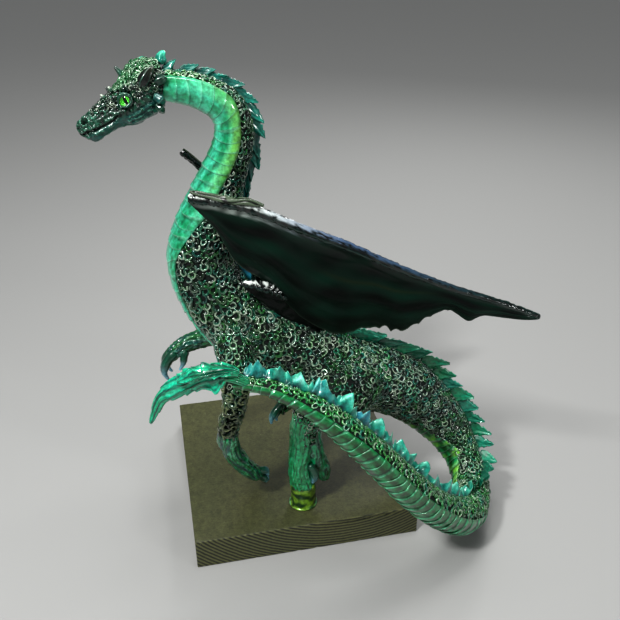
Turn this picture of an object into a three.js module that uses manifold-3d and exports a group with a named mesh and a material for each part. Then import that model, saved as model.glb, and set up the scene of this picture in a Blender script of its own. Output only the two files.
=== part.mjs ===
// A winged dragon modelled in clay, standing on one hind leg on a stained wooden block.
// Millimetres, +Z up. The origin is the centre of the block's underside. The dragon looks
// along -X, its tail swings round the +X end, and its left side faces -Y.
import * as THREE from "three";
import { mergeVertices } from "three/addons/utils/BufferGeometryUtils.js";
import Module from "manifold-3d";

const wasm = await Module();
wasm.setup();

// Driving dimensions.
const plinthWidth = 200; // along X
const plinthDepth = 200; // along Y
const plinthHeight = 30;
const plinthEase = 1; // softened edges of the block
const figureHeight = 385; // top of the head above the block
const stumpDiameter = 25; // clay stub that the standing leg ends in
const stumpHeight = 26;
const wingSkin = 2.6; // thickness of a wing's skin
const wingBelly = 5; // how far the skin bows out between its edges
const finThickness = 2.4; // crest blades at the root
const leafThickness = 3.6; // tail leaf along its middle
const eyeDiameter = 10;
const eyeDome = 2.6; // how far the glass stands out of its socket
const eyeDepth = 3; // how deep the glass sits
const seatGap = 0.3; // joint between pieces that touch

// The figure's pose is drawn at this height and follows figureHeight.
const drawnHeight = 385;
const k = figureHeight / drawnHeight;
const deck = plinthHeight + seatGap;
const point = (x, y, z) => new THREE.Vector3(x * k, y * k, z * k + deck);

// Midline of the trunk from the skull to the tail's end: x, y, z, radius, and the way the
// spine's ridge points there.
const spine = [
  [-98, -37, 371, 10.5, 0, 0.35, 1],
  [-82, -36, 369, 12.3, 0, 0.4, 1],
  [-65, -35, 364.5, 13.3, 0.2, 0.42, 1],
  [-48, -35, 355, 14.6, 0.7, 0.3, 0.8],
  [-40.5, -35, 341, 15, 1, 0.15, 0.25],
  [-41, -35, 326, 15.8, 1, 0.1, -0.1],
  [-46, -35, 311, 17, 1, 0.05, -0.3],
  [-53, -35, 294, 19.5, 1, 0, -0.35],
  [-60, -35, 276, 22.5, 1, 0, -0.3],
  [-67, -35, 256, 25.7, 1, 0, -0.2],
  [-71.5, -35, 234.5, 27, 1, 0, 0],
  [-65, -35, 210, 28.8, 1, 0, 0.35],
  [-49, -35, 183, 31.5, 0.8, 0, 0.8],
  [-24, -35, 160, 33.5, 0.5, 0, 1],
  [6, -35, 140, 32, 0.4, 0, 1],
  [38, -35, 121, 32.5, 0.4, 0, 1],
  [70, -35, 105, 33, 0.4, 0, 1],
  [100, -35, 88, 31, 0.45, 0, 1],
  [124, -37, 65, 27, 0.8, 0, 0.8],
  [144, -43, 40, 22.5, 1, 0, 0.65],
  [156, -57, 18, 18.5, 1, 0.1, 0.7],
  [157, -81, 4, 17.6, 0.6, 0.25, 1],
  [147, -107, 1.5, 17.6, 0.3, 0.35, 1],
  [127, -128, 11.5, 17.6, 0, 0.3, 1],
  [100, -142, 38, 16.3, 0, 0.3, 1],
  [75, -150, 68, 15.3, 0, 0.3, 1],
  [53, -154, 98, 14.6, 0, 0.3, 1],
  [34, -155, 123, 13.8, 0, 0.3, 1],
  [16, -154, 144, 12.6, 0, 0.3, 1],
  [-1, -150, 160, 11, 0, 0.3, 1],
  [-18, -144, 171, 9.3, 0, 0.3, 1],
  [-36, -138, 179, 7.8, 0, 0.3, 1],
  [-54, -133, 182, 6.4, 0, 0.3, 1],
  [-68, -128, 180, 3.5, 0, 0.3, 1],
];

// The head is drawn on its own axes: forward along the muzzle, up through the crown.
const skullPlace = [-95.4, -36, 368.1];
const skull = point(...skullPlace);
const muzzle = new THREE.Vector3(-0.904, -0.103, -0.414).normalize();
const crown = squareTo(new THREE.Vector3(0, 0.3, 1), muzzle);
const cheek = crown.clone().cross(muzzle);

// Sections of the head: distance forward, half width, height above and below the axis.
const headSections = [
  [-12, 10, 15, 9],
  [-3, 13, 20.5, 13.5],
  [5.5, 14.2, 20.5, 17],
  [12.5, 14.2, 17.2, 16.8],
  [19.9, 12.6, 13.8, 17],
  [26.7, 10.4, 11.8, 14.9],
  [35, 8.6, 9.8, 13.2],
  [44.5, 7.6, 7.8, 13.3],
  [51, 7, 6.6, 13.6],
  [56, 5, 5, 8.5],
  [58.5, 2.4, 2.4, 4],
];

// Legs: x, y, z and radius down the limb.
const legs = {
  nearHind: [
    [58, -40, 108, 30],
    [40, -60, 112, 27],
    [22, -71, 115, 22],
    [8, -74, 107, 17],
    [3, -74, 90, 13],
    [2, -73, 66, 12],
    [2, -72, 42, 12.5],
    [0, -71, 22, 12.2],
  ],
  nearHindFoot: [
    [3, -72, 58, 7],
    [9, -70, 44, 9],
    [15, -68, 32, 8.5],
    [20, -66.5, 24, 6],
    [21.5, -66, 19, 2.5],
  ],
  nearFore: [
    [-48, -38, 189, 18],
    [-52, -58, 170, 18.5],
    [-54, -73, 148, 14.5],
    [-56, -77, 126, 12.5],
    [-62, -77, 104, 10.5],
    [-64, -75, 88, 9],
    [-60, -71, 68, 8],
    [-51, -66, 48, 7.5],
    [-42, -62, 35, 7],
    [-36, -60, 29, 5],
  ],
  farFore: [
    [-44, -20, 172, 20],
    [-60, -13, 154, 9.5],
    [-76, -8, 145.5, 6.2],
    [-92, -8, 141.5, 5.2],
    [-102, -8, 137, 5],
    [-107, -8, 131, 3.6],
  ],
  farHind: [
    [50, -20, 105, 26],
    [28, 2, 108, 22],
    [10, 8, 95, 15],
    [0, 4, 75, 11],
    [-3, -2, 60, 9],
    [-8, -5, 52, 5],
  ],
};

// Claws: x, y, z and radius from knuckle to point.
const claws = [
  [[-102, -11, 138, 3.6], [-109, -13, 131, 3.2], [-110.5, -14, 122, 2.2], [-106, -14, 114, 0.8]],
  [[-103, -6, 136, 3.6], [-107.5, -4, 129, 3], [-106, -3, 121, 2.1], [-102, -3, 114, 0.8]],
  [[-94, -11, 141, 3.4], [-93, -14, 135, 2.8], [-94, -15, 129, 2], [-97, -15, 124, 0.8]],
  [[-43, -63, 37, 5], [-36, -62, 36, 3.6], [-31, -61, 34, 3], [-30, -61, 28, 1.4]],
  [[-42, -61, 33, 5], [-35, -60, 27, 4], [-31, -60, 23, 3], [-31, -60, 28, 1.2]],
  [[8, -79, 48, 3.6], [14, -79, 42, 3.4], [18, -77, 33, 2.6], [17, -76, 27, 1]],
  [[-4, -2, 60, 5], [-12, -6, 56, 3.6], [-17, -8, 49, 2.4], [-17, -8, 43, 0.8]],
  [[-4, 2, 58, 5], [-8, 3, 50, 3.6], [-11, 3, 43, 2.4], [-10, 3, 37, 0.8]],
];

// Spikes along the middle of the head and ears beside it, in head axes: forward, sideways, up
// and radius from root to point.
const headSpikes = [
  [[26, 0, 9, 2.4], [26.4, 0, 12, 1.3], [27, 0, 15, 0.5]],
  [[12.5, 0, 14, 2.8], [13.6, 0, 20, 1.9], [15.2, 0, 25.5, 0.6]],
  [[-3, 0, 16, 4.2], [-4, 0, 20.5, 3.4], [-4.5, 0, 23, 1.6]],
  [[-13.5, 0, 10, 4.4], [-15, 0, 15, 3], [-16.5, 0, 18.5, 1.4]],
];
const ears = [
  [[8, 11.5, 3, 3.4], [1, 14, 7, 4.8], [-5, 14.5, 10, 3.6], [-9, 13.5, 12, 1.2]],
  [[-3, 11, 2, 4], [-8, 13, 1, 4.4], [-13, 12.5, 0, 1.4]],
];
const jawKnob = { forward: -2, side: 9, up: -10, radius: 6.6 };
const browRidge = [[33, 7, 5, 2], [26, 10, 8, 3.2], [17, 12.5, 9, 3.4], [8, 13.5, 6, 2.4]];
const eyePlace = { forward: 20, side: 12.1, up: 0.6, lookForward: 0.3, lookUp: 0.12 };

// Leaf at the tail's end: x, y, z, height above and below its middle vein.
const leaf = [
  [-50, -136, 183, 3, 4],
  [-62.5, -136.5, 191.5, 3, 5],
  [-69, -134, 192.5, 6, 9.5],
  [-77, -131, 190.5, 8.5, 14],
  [-86, -128, 186.5, 9.8, 10],
  [-93.5, -125, 182, 9.6, 9.2],
  [-99.5, -122.5, 179.5, 7, 9.4],
  [-106, -119, 173.5, 6, 7.6],
  [-112.5, -116, 165.5, 5, 4.9],
  [-118, -114, 154, 3.4, 3.4],
  [-122.5, -113, 142.7, 1.4, 1.4],
];

// A wing's skin lies between its front edge and its other edge, both running from wrist to tip.
// Its web ties it to the flank below a rolled fold, and its arm holds it from behind.
const nearWing = {
  front: [
    [-80, -85, 306, 4.2], [-55, -89, 301, 4], [-34, -93, 295, 3.8], [-6, -99, 282, 3.6],
    [29, -106, 267, 3.4], [64, -113, 250, 3.1], [101, -120, 234, 2.8], [139, -126, 220, 2.4],
    [171, -130, 206, 1.8],
  ],
  rear: [
    [-80, -84, 302], [-62.5, -77, 277], [-50, -70, 249], [-40, -65, 235.5], [-30.5, -61, 226],
    [-21, -59, 216], [0, -61, 190], [22, -56, 170], [38, -52, 162], [59, -64, 172],
    [77, -82, 176], [97, -97, 196], [108, -106, 206], [121, -113, 199], [132, -118, 205],
    [157, -126, 203], [170, -130, 201],
  ],
  arm: [
    [-20, -44, 182, 8], [-27, -46, 202, 6.5], [-30, -54, 236, 4.6], [-29, -79, 281, 3.6],
    [-26, -91, 290, 3],
  ],
};
const farWing = {
  front: [
    [-78, 15, 305, 1.9], [-58, 25, 284, 2.6], [-35, 33, 258, 3.4], [-5, 40, 228, 3.5],
    [30, 46, 202, 3.2], [65, 51, 178, 2.9], [100, 56, 157, 2.5], [145, 60, 138, 1.8],
  ],
  rear: [
    [-78, 15, 304], [-62, 20, 282], [-48, 8, 250], [-36, -4, 232], [-21, -11, 216],
    [0, -9, 190], [22, -14, 170], [38, -18, 160], [55, -6, 150], [78, 14, 142],
    [100, 34, 150], [112, 44, 140], [143, 59, 136],
  ],
  arm: [
    [-20, -26, 182, 8], [-27, -24, 202, 6.5], [-33, -10, 230, 4.6], [-38, 20, 256, 3.6],
    [-38, 30, 260, 3],
  ],
};
const wingWeb = {
  fold: [
    [-46, -60, 223, 2.4], [-33, -62, 221.5, 3.4], [-22, -63, 217, 3.8], [-10, -62, 210, 3.6],
    [2, -58, 199, 3], [14, -54, 186, 2],
  ],
  foot: [
    [-46, -58, 214], [-28.5, -56, 200], [-14, -53.5, 187.5], [0, -51, 177.5], [12, -48, 170],
    [24, -44, 162],
  ],
};
const midPlane = -35; // the trunk's middle plane from neck to hip

// Crest blades: place on the spine, pitch, height and how far the point leans back.
const crest = [
  [0.6, 15, 7, 1],
  [4, 16, 10, 1],
  [8, 17, 16, 1],
  [12, 19, 11, 1],
  [18, 21, 10, 0.9],
  [21, 18, 9, 0.6],
  [25, 19, 14, 0.35],
  [29, 14, 13, 0.25],
  [32, 12, 12, 0.3],
];

// The part of v that is square to axis, at unit length.
function squareTo(v, axis) {
  return v.clone().addScaledVector(axis, -v.dot(axis)).normalize();
}

// Rows of numbers read at s by a uniform Catmull-Rom curve, where row n is at s = n.
function along(rows, s) {
  const i = Math.min(Math.floor(s), rows.length - 2);
  const f = s - i;
  const row = (n) => rows[Math.max(0, Math.min(rows.length - 1, n))];
  const [a, b, c, d] = [row(i - 1), row(i), row(i + 1), row(i + 2)];
  return b.map((v, n) => {
    const bend = 2 * a[n] - 5 * v + 4 * c[n] - d[n] + f * (3 * (v - c[n]) + d[n] - a[n]);
    return v + 0.5 * f * (c[n] - a[n] + f * bend);
  });
}

// Rows read at s by straight lines, where the first number of each row is its s.
function between(rows, s) {
  let i = 0;
  while (i < rows.length - 2 && s > rows[i + 1][0]) i += 1;
  const f = THREE.MathUtils.clamp((s - rows[i][0]) / (rows[i + 1][0] - rows[i][0]), 0, 1);
  return rows[i].map((v, n) => v + f * (rows[i + 1][n] - v));
}

// A closed solid through rings of points, each ring counter-clockwise seen from its far end.
function skin(rings) {
  const sides = rings[0].length;
  const middle = (ring) => ring.reduce((m, p) => m.add(p), new THREE.Vector3()).divideScalar(sides);
  const points = rings.flat();
  const faces = [];
  for (let i = 0; i < rings.length - 1; i += 1) {
    for (let j = 0; j < sides; j += 1) {
      const a = i * sides + j;
      const b = i * sides + ((j + 1) % sides);
      faces.push(a, b, b + sides, a, b + sides, a + sides);
    }
  }
  const start = points.length;
  points.push(middle(rings[0]), middle(rings[rings.length - 1]));
  const end = (rings.length - 1) * sides;
  for (let j = 0; j < sides; j += 1) {
    const next = (j + 1) % sides;
    faces.push(start, next, j, start + 1, end + j, end + next);
  }
  return new THREE.BufferGeometry().setFromPoints(points).setIndex(faces);
}

// One ring round a centre: half width across, height above and below along up.
function ring(centre, ahead, hint, width, above, below, sides) {
  const up = squareTo(hint, ahead);
  const across = up.clone().cross(ahead);
  return Array.from({ length: sides }, (_, j) => {
    const angle = (2 * Math.PI * j) / sides;
    const rise = Math.sin(angle) * (Math.sin(angle) > 0 ? above : below);
    return centre
      .clone()
      .addScaledVector(across, Math.cos(angle) * width)
      .addScaledVector(up, rise);
  });
}

// A round limb through rows of x, y, z and radius.
function limb(rows, rings, sides, grow = 0) {
  const last = rows.length - 1;
  const place = (s) => point(...along(rows, THREE.MathUtils.clamp(s, 0, last)).slice(0, 3));
  const step = last / (rings - 1);
  const hint = squareTo(new THREE.Vector3(0.35, -0.9, 0.25), place(last).sub(place(0)).normalize());
  return skin(
    Array.from({ length: rings }, (_, i) => {
      const s = i * step;
      const ahead = place(s + step / 2).sub(place(s - step / 2)).normalize();
      const radius = along(rows, s)[3] * k + grow;
      return ring(place(s), ahead, hint, radius, radius, radius, sides);
    }),
  );
}

// Centre, direction, ridge direction and radius of the trunk at s.
function trunkAt(s) {
  const end = spine.length - 1;
  const place = (t) => point(...along(spine, THREE.MathUtils.clamp(t, 0, end)).slice(0, 3));
  const [radius, ...ridge] = along(spine, s).slice(3);
  const ahead = place(s + 0.1).sub(place(s - 0.1)).normalize();
  return {
    centre: place(s),
    ahead,
    ridge: squareTo(new THREE.Vector3(...ridge), ahead),
    radius: radius * k,
  };
}

function trunk(grow) {
  const rings = 51;
  const sides = 14;
  return skin(
    Array.from({ length: rings }, (_, i) => {
      const { centre, ahead, ridge, radius } = trunkAt((i * (spine.length - 1)) / (rings - 1));
      return ring(centre, ahead, ridge, radius + grow, radius + grow, radius + grow, sides);
    }),
  );
}

// A place given in head axes.
function inHead(forward, side, up) {
  return skull
    .clone()
    .addScaledVector(muzzle, forward * k)
    .addScaledVector(cheek, side * k)
    .addScaledVector(crown, up * k);
}

function head() {
  const rings = 15;
  const sides = 18;
  return skin(
    Array.from({ length: rings }, (_, i) => {
      const s = (i * (headSections.length - 1)) / (rings - 1);
      const [forward, width, above, below] = along(headSections, s);
      return ring(inHead(forward, 0, 0), muzzle, crown, width * k, above * k, below * k, sides);
    }),
  );
}

// The same rows on the other side of the head.
const mirrored = (rows) => rows.map(([forward, side, up, radius]) => [forward, -side, up, radius]);

// A spike, ear or ridge on the head, through rows in head axes.
function headLimb(rows, rings, sides) {
  const last = rows.length - 1;
  const place = (s) => inHead(...along(rows, THREE.MathUtils.clamp(s, 0, last)).slice(0, 3));
  return skin(
    Array.from({ length: rings }, (_, i) => {
      const s = (i * last) / (rings - 1);
      const ahead = place(s + 0.2).sub(place(s - 0.2)).normalize();
      const radius = along(rows, s)[3] * k;
      return ring(place(s), ahead, cheek, radius, radius, radius, sides);
    }),
  );
}

function knob(side) {
  const place = inHead(jawKnob.forward, side * jawKnob.side, jawKnob.up);
  const ball = new THREE.SphereGeometry(jawKnob.radius * k, 8, 5);
  return ball.translate(place.x, place.y, place.z);
}

// Turns geometry from x, y, z onto the axes given, and moves it to a place.
function placed(geometry, x, y, z, place) {
  return geometry.applyMatrix4(new THREE.Matrix4().makeBasis(x, y, z).setPosition(place));
}

// One blade of the crest, rooted in the ridge of the trunk: its root overlaps the next blade,
// and its point leans back.
function blade(s, grow) {
  const { centre, ahead, ridge, radius } = trunkAt(s);
  const [, pitch, height, lean] = between(crest, s);
  const root = 0.62 * pitch * k;
  const top = height * k;
  const tip = (1.5 * lean - 0.3) * pitch * k;
  const sunk = -0.22 * radius;
  const outline = new THREE.Shape();
  outline.moveTo(-root, sunk);
  outline.lineTo(root, sunk);
  outline.lineTo(root, 0);
  outline.lineTo(tip, top);
  outline.quadraticCurveTo(tip * 0.35 - root * 0.6, top * 0.95, -root, 0);
  const thick = finThickness + 2 * grow;
  const fin = new THREE.ExtrudeGeometry(outline, {
    depth: thick,
    bevelEnabled: false,
    curveSegments: 2,
  }).translate(0, 0, -thick / 2);
  const across = ahead.clone().cross(ridge);
  return placed(fin, ahead, ridge, across, centre.addScaledVector(ridge, radius));
}

// Places of the crest's blades, one pitch apart along the spine.
function crestStations() {
  const stations = [];
  const stride = 0.02;
  let travelled = 0;
  for (let s = crest[0][0]; s < crest[crest.length - 1][0]; s += stride) {
    if (travelled <= 0) {
      stations.push(s);
      travelled += between(crest, s)[1] * k;
    }
    travelled -= trunkAt(s + stride).centre.distanceTo(trunkAt(s).centre);
  }
  return stations;
}

function tailLeaf() {
  const rings = 12;
  const sides = 8;
  const last = leaf.length - 1;
  const place = (s) => point(...along(leaf, THREE.MathUtils.clamp(s, 0, last)).slice(0, 3));
  return skin(
    Array.from({ length: rings }, (_, i) => {
      const s = (i * last) / (rings - 1);
      const [above, below] = along(leaf, s).slice(3);
      const ahead = place(s + 0.3).sub(place(s - 0.3)).normalize();
      const half = Math.min(leafThickness / 2, above * k);
      return ring(place(s), ahead, new THREE.Vector3(-0.45, 0.3, 1), half, above * k, below * k, sides);
    }),
  );
}

function stump() {
  const radius = stumpDiameter / 2;
  const rounded = radius * 0.06;
  const top = stumpHeight * k;
  const profile = [
    new THREE.Vector2(0, 0),
    new THREE.Vector2(radius - rounded, 0),
    new THREE.Vector2(radius, 2 * rounded),
    new THREE.Vector2(radius, top),
    new THREE.Vector2(0, top),
  ];
  const turned = new THREE.LatheGeometry(profile, 14).rotateX(Math.PI / 2);
  const ankle = point(...legs.nearHind[legs.nearHind.length - 1]);
  return turned.translate(ankle.x, ankle.y, deck);
}

// The eye's frame: its middle on the head, and the way it looks.
function eyeFrame(side) {
  const place = inHead(eyePlace.forward, side * eyePlace.side, eyePlace.up);
  const look = cheek
    .clone()
    .multiplyScalar(side)
    .addScaledVector(muzzle, eyePlace.lookForward)
    .addScaledVector(crown, eyePlace.lookUp)
    .normalize();
  const up = squareTo(crown, look);
  return { place, look, up, across: up.clone().cross(look) };
}

// A round shape at the eye, turned from pairs of radius and height out of the head.
function turnedAtEye(side, profile) {
  const { place, look, up, across } = eyeFrame(side);
  const points = profile.map(([radius, height]) => new THREE.Vector2(radius, height));
  return placed(new THREE.LatheGeometry(points, 16), up, look, across, place);
}

// A round glass with a domed face, its back let into the head.
function eyeGlass(side) {
  const radius = eyeDiameter / 2;
  const steps = 3;
  const dome = Array.from({ length: steps }, (_, i) => {
    const angle = (i / steps) * (Math.PI / 2);
    return [radius * Math.cos(angle), eyeDome * Math.sin(angle)];
  });
  return turnedAtEye(side, [[0, -eyeDepth], [radius, -eyeDepth], ...dome, [0, eyeDome]]);
}

// The hole that an eye sits in, open to the outside.
function eyeSocket(side) {
  const radius = eyeDiameter / 2 + seatGap;
  const floor = -eyeDepth - seatGap;
  const clear = eyeDome * 3;
  return turnedAtEye(side, [[0, floor], [radius, floor], [radius, clear], [0, clear]]);
}

// A geometry as a solid that can be joined and cut.
function solid(geometry) {
  const bare = geometry.clone();
  bare.deleteAttribute("normal");
  bare.deleteAttribute("uv");
  const merged = mergeVertices(bare, 1e-4);
  return new wasm.Manifold(
    new wasm.Mesh({
      numProp: 3,
      vertProperties: merged.attributes.position.array,
      triVerts: new Uint32Array(merged.index.array),
    }),
  );
}

function joined(geometries) {
  return geometries.map(solid).reduce((whole, piece) => whole.add(piece));
}

// The clay figure as one solid, optionally grown all round by a gap.
function figure(grow) {
  return joined([
    trunk(grow),
    head(),
    knob(1),
    knob(-1),
    headLimb(browRidge, 4, 6),
    headLimb(mirrored(browRidge), 4, 6),
    ...headSpikes.map((rows) => headLimb(rows, 3, 6)),
    ...ears.map((rows) => headLimb(rows, 4, 6)),
    ...ears.map((rows) => headLimb(mirrored(rows), 4, 6)),
    limb(legs.nearHind, 10, 12, grow),
    limb(legs.nearHindFoot, 5, 8, grow),
    limb(legs.nearFore, 11, 10, grow),
    limb(legs.farFore, 7, 8, grow),
    limb(legs.farHind, 7, 10, grow),
    ...claws.map((rows) => limb(rows, 4, 5)),
    ...crestStations().map((s) => blade(s, grow)),
    tailLeaf(),
    stump(),
  ]);
}

// The same rows on the other side of the trunk.
const acrossTrunk = (rows) => rows.map(([x, y, z, ...rest]) => [x, 2 * midPlane - y, z, ...rest]);

// A thin skin between two edges, bellied towards outward, which is -1 or 1 along Y.
function sheet(front, rear, columns, belly, outward) {
  const rows = 3;
  const edge = (points, u) => point(...along(points, u * (points.length - 1)));
  const place = (u, v) => {
    const lift = belly * k * Math.sin(Math.PI * v) * Math.sin(Math.PI * u);
    return edge(front, u).lerp(edge(rear, u), v).add(new THREE.Vector3(0, outward * lift, 0));
  };
  const section = (u) => {
    const line = Array.from({ length: rows + 1 }, (_, j) => place(u, j / rows));
    const span = line[rows].clone().sub(line[0]);
    const ahead = place(Math.min(1, u + 0.01), 0.5).sub(place(Math.max(0, u - 0.01), 0.5));
    const half = span.cross(ahead).setLength(wingSkin / 2);
    const one = line.map((v) => v.clone().add(half));
    const other = line.map((v) => v.clone().sub(half)).reverse();
    return [...one, ...other];
  };
  return skin(Array.from({ length: columns }, (_, i) => section(i / (columns - 1))));
}

function wing({ front, rear, arm }, { fold, foot }, outward) {
  return joined([
    sheet(front, rear, 16, wingBelly, outward),
    sheet(fold, foot, 6, 0, outward),
    limb(front, 11, 6),
    limb(arm, 6, 5),
    limb(fold, 6, 5),
  ]);
}

function plinth() {
  const halfWidth = plinthWidth / 2 - plinthEase;
  const halfDepth = plinthDepth / 2 - plinthEase;
  const outline = new THREE.Shape([
    new THREE.Vector2(-halfWidth, -halfDepth),
    new THREE.Vector2(halfWidth, -halfDepth),
    new THREE.Vector2(halfWidth, halfDepth),
    new THREE.Vector2(-halfWidth, halfDepth),
  ]);
  return new THREE.ExtrudeGeometry(outline, {
    depth: plinthHeight - 2 * plinthEase,
    bevelThickness: plinthEase,
    bevelSize: plinthEase,
    bevelSegments: 2,
  }).translate(0, 0, plinthEase);
}

// A solid's faces as a geometry for a mesh.
function geometryOf(body) {
  const mesh = body.getMesh();
  return new THREE.BufferGeometry()
    .setAttribute("position", new THREE.BufferAttribute(mesh.vertProperties, 3))
    .setIndex(new THREE.BufferAttribute(mesh.triVerts, 1));
}

const finishes = {
  stainedWood: new THREE.MeshStandardMaterial({ color: "#2f3022", roughness: 0.55, metalness: 0 }),
  paintedClay: new THREE.MeshStandardMaterial({ color: "#1f4a34", roughness: 0.4, metalness: 0.1 }),
  lacqueredClay: new THREE.MeshStandardMaterial({ color: "#0a1a16", roughness: 0.15, metalness: 0 }),
  glass: new THREE.MeshStandardMaterial({ color: "#2fae35", roughness: 0.05, metalness: 0 }),
};

const part = new THREE.Group();
function addPiece(name, geometry, finish) {
  const mesh = new THREE.Mesh(geometry, finish.clone());
  mesh.name = name;
  part.add(mesh);
}

const farWeb = { fold: acrossTrunk(wingWeb.fold), foot: acrossTrunk(wingWeb.foot) };
const sockets = joined([eyeSocket(1), eyeSocket(-1)]);
const keepOut = figure(seatGap);
addPiece("plinth", plinth(), finishes.stainedWood);
addPiece("dragon", geometryOf(figure(0).subtract(sockets)), finishes.paintedClay);
addPiece("wing_left", geometryOf(wing(nearWing, wingWeb, -1).subtract(keepOut)), finishes.lacqueredClay);
addPiece("wing_right", geometryOf(wing(farWing, farWeb, 1).subtract(keepOut)), finishes.lacqueredClay);
addPiece("eye_left", eyeGlass(1), finishes.glass);
addPiece("eye_right", eyeGlass(-1), finishes.glass);

export default part;
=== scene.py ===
"""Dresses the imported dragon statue: a scaly figure of painted clay with lacquered wings and
glass eyes, on a block of dark stained wood. Shapes are worked out in millimetres above the
block's top and written to the meshes in metres."""

import logging
import math
from dataclasses import dataclass
from enum import Enum

import bpy
import numpy as np
from bpy.types import ID, Material, Mesh, Node, NodeSocket, NodeTree, Object
from mathutils import Matrix


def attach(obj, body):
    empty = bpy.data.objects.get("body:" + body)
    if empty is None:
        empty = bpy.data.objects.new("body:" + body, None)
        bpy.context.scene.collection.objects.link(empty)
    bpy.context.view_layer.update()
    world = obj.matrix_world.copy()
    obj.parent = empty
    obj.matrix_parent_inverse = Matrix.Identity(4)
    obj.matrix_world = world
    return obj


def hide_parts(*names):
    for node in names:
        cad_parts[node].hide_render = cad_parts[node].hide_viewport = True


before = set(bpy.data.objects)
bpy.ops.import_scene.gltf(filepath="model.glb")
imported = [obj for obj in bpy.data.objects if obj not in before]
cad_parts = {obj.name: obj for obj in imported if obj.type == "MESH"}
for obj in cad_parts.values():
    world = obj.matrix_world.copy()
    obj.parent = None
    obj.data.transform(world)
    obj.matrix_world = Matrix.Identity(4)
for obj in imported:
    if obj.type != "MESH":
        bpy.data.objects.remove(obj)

Array = np.ndarray
LOG = logging.getLogger("dragon")
MM = 0.001
DECK = 30.3  # the figure's zero height: the block's top and the joint under the foot
SEED = 27


# Curves and meshes


def unit(v: Array) -> Array:
    """Vectors at unit length."""
    return v / np.maximum(np.linalg.norm(v, axis=-1, keepdims=True), 1e-12)


def squared(v: Array, axis: Array) -> Array:
    """The part of v that is square to axis, at unit length."""
    return unit(v - (v * axis).sum(-1, keepdims=True) * axis)


def curve(rows: Array, at: Array) -> Array:
    """Rows of numbers read at fractional row numbers by a Catmull-Rom cubic.

    Args:
        rows: (n, k) values.
        at: row numbers, of any shape.

    Returns:
        Values of shape at.shape + (k,).
    """
    last = len(rows) - 1
    at = np.clip(np.asarray(at, float), 0, last)
    i = np.minimum(at.astype(int), last - 1)
    f = (at - i)[..., None]
    a, b, c, d = (rows[np.clip(i + n, 0, last)] for n in (-1, 0, 1, 2))
    return b + 0.5 * f * (c - a + f * (2 * a - 5 * b + 4 * c - d + f * (3 * (b - c) + d - a)))


def table(rows: Array, at: Array) -> list[Array]:
    """All columns but the first of a table, read in straight lines where the first is at."""
    return [np.interp(at, rows[:, 0], column) for column in rows.T[1:]]


def there_and_back(a: Array) -> Array:
    """The last axis followed by itself in reverse, as round a thin section."""
    return np.concatenate([a, a[..., ::-1]], -1)


def counted(run: Array, step: Array) -> Array:
    """How many steps have passed at each length of a run, for a step that changes on the way."""
    return np.concatenate([[0], np.cumsum(np.diff(run) / step[1:])])


def bump(x: Array, centre: float, width: float) -> Array:
    """A bell of height 1 at centre: exp(-((x - centre) / width) squared)."""
    return np.exp(-(((x - centre) / width) ** 2))


def ease(x: Array, start: float, end: float) -> Array:
    """Rises smoothly from 0 at start to 1 at end."""
    t = np.clip((x - start) / (end - start), 0, 1)
    return t * t * (3 - 2 * t)


def blend(a: Array, b: Array, t: Array) -> Array:
    """From a to b as t goes from 0 to 1, where t has one axis fewer."""
    t = np.asarray(t, float)[..., None]
    return a + (b - a) * t


def linear(code: str) -> Array:
    """An sRGB hex colour as linear red, green and blue."""
    c = np.array([int(code[i:i + 2], 16) for i in (1, 3, 5)]) / 255
    return np.where(c <= 0.04045, c / 12.92, ((c + 0.055) / 1.055) ** 2.4)


class Paint(Enum):
    """The maker's paints."""

    WASH = "#020a07"
    DARK_GREEN = "#0b2a20"
    OLIVE = "#25301a"
    BOTTLE = "#0d4a35"
    EMERALD = "#0f9152"
    FERN = "#14581f"
    MOSS = "#23713a"
    GRASS = "#2f9e3c"
    LIME = "#79c23f"
    DEEP_TEAL = "#0f4f49"
    TEAL = "#12806f"
    TURQUOISE = "#1fae93"
    SEA_BLUE = "#2f7aa6"
    JADE = "#14ac70"
    AQUA = "#52d6b0"
    MINT = "#8fe8c4"
    DRY_BRUSH = "#d3e4cc"
    GOLD_BRUSH = "#a8b37e"

    @property
    def rgb(self) -> Array:
        """The paint as linear colour."""
        return linear(self.value)


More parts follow.
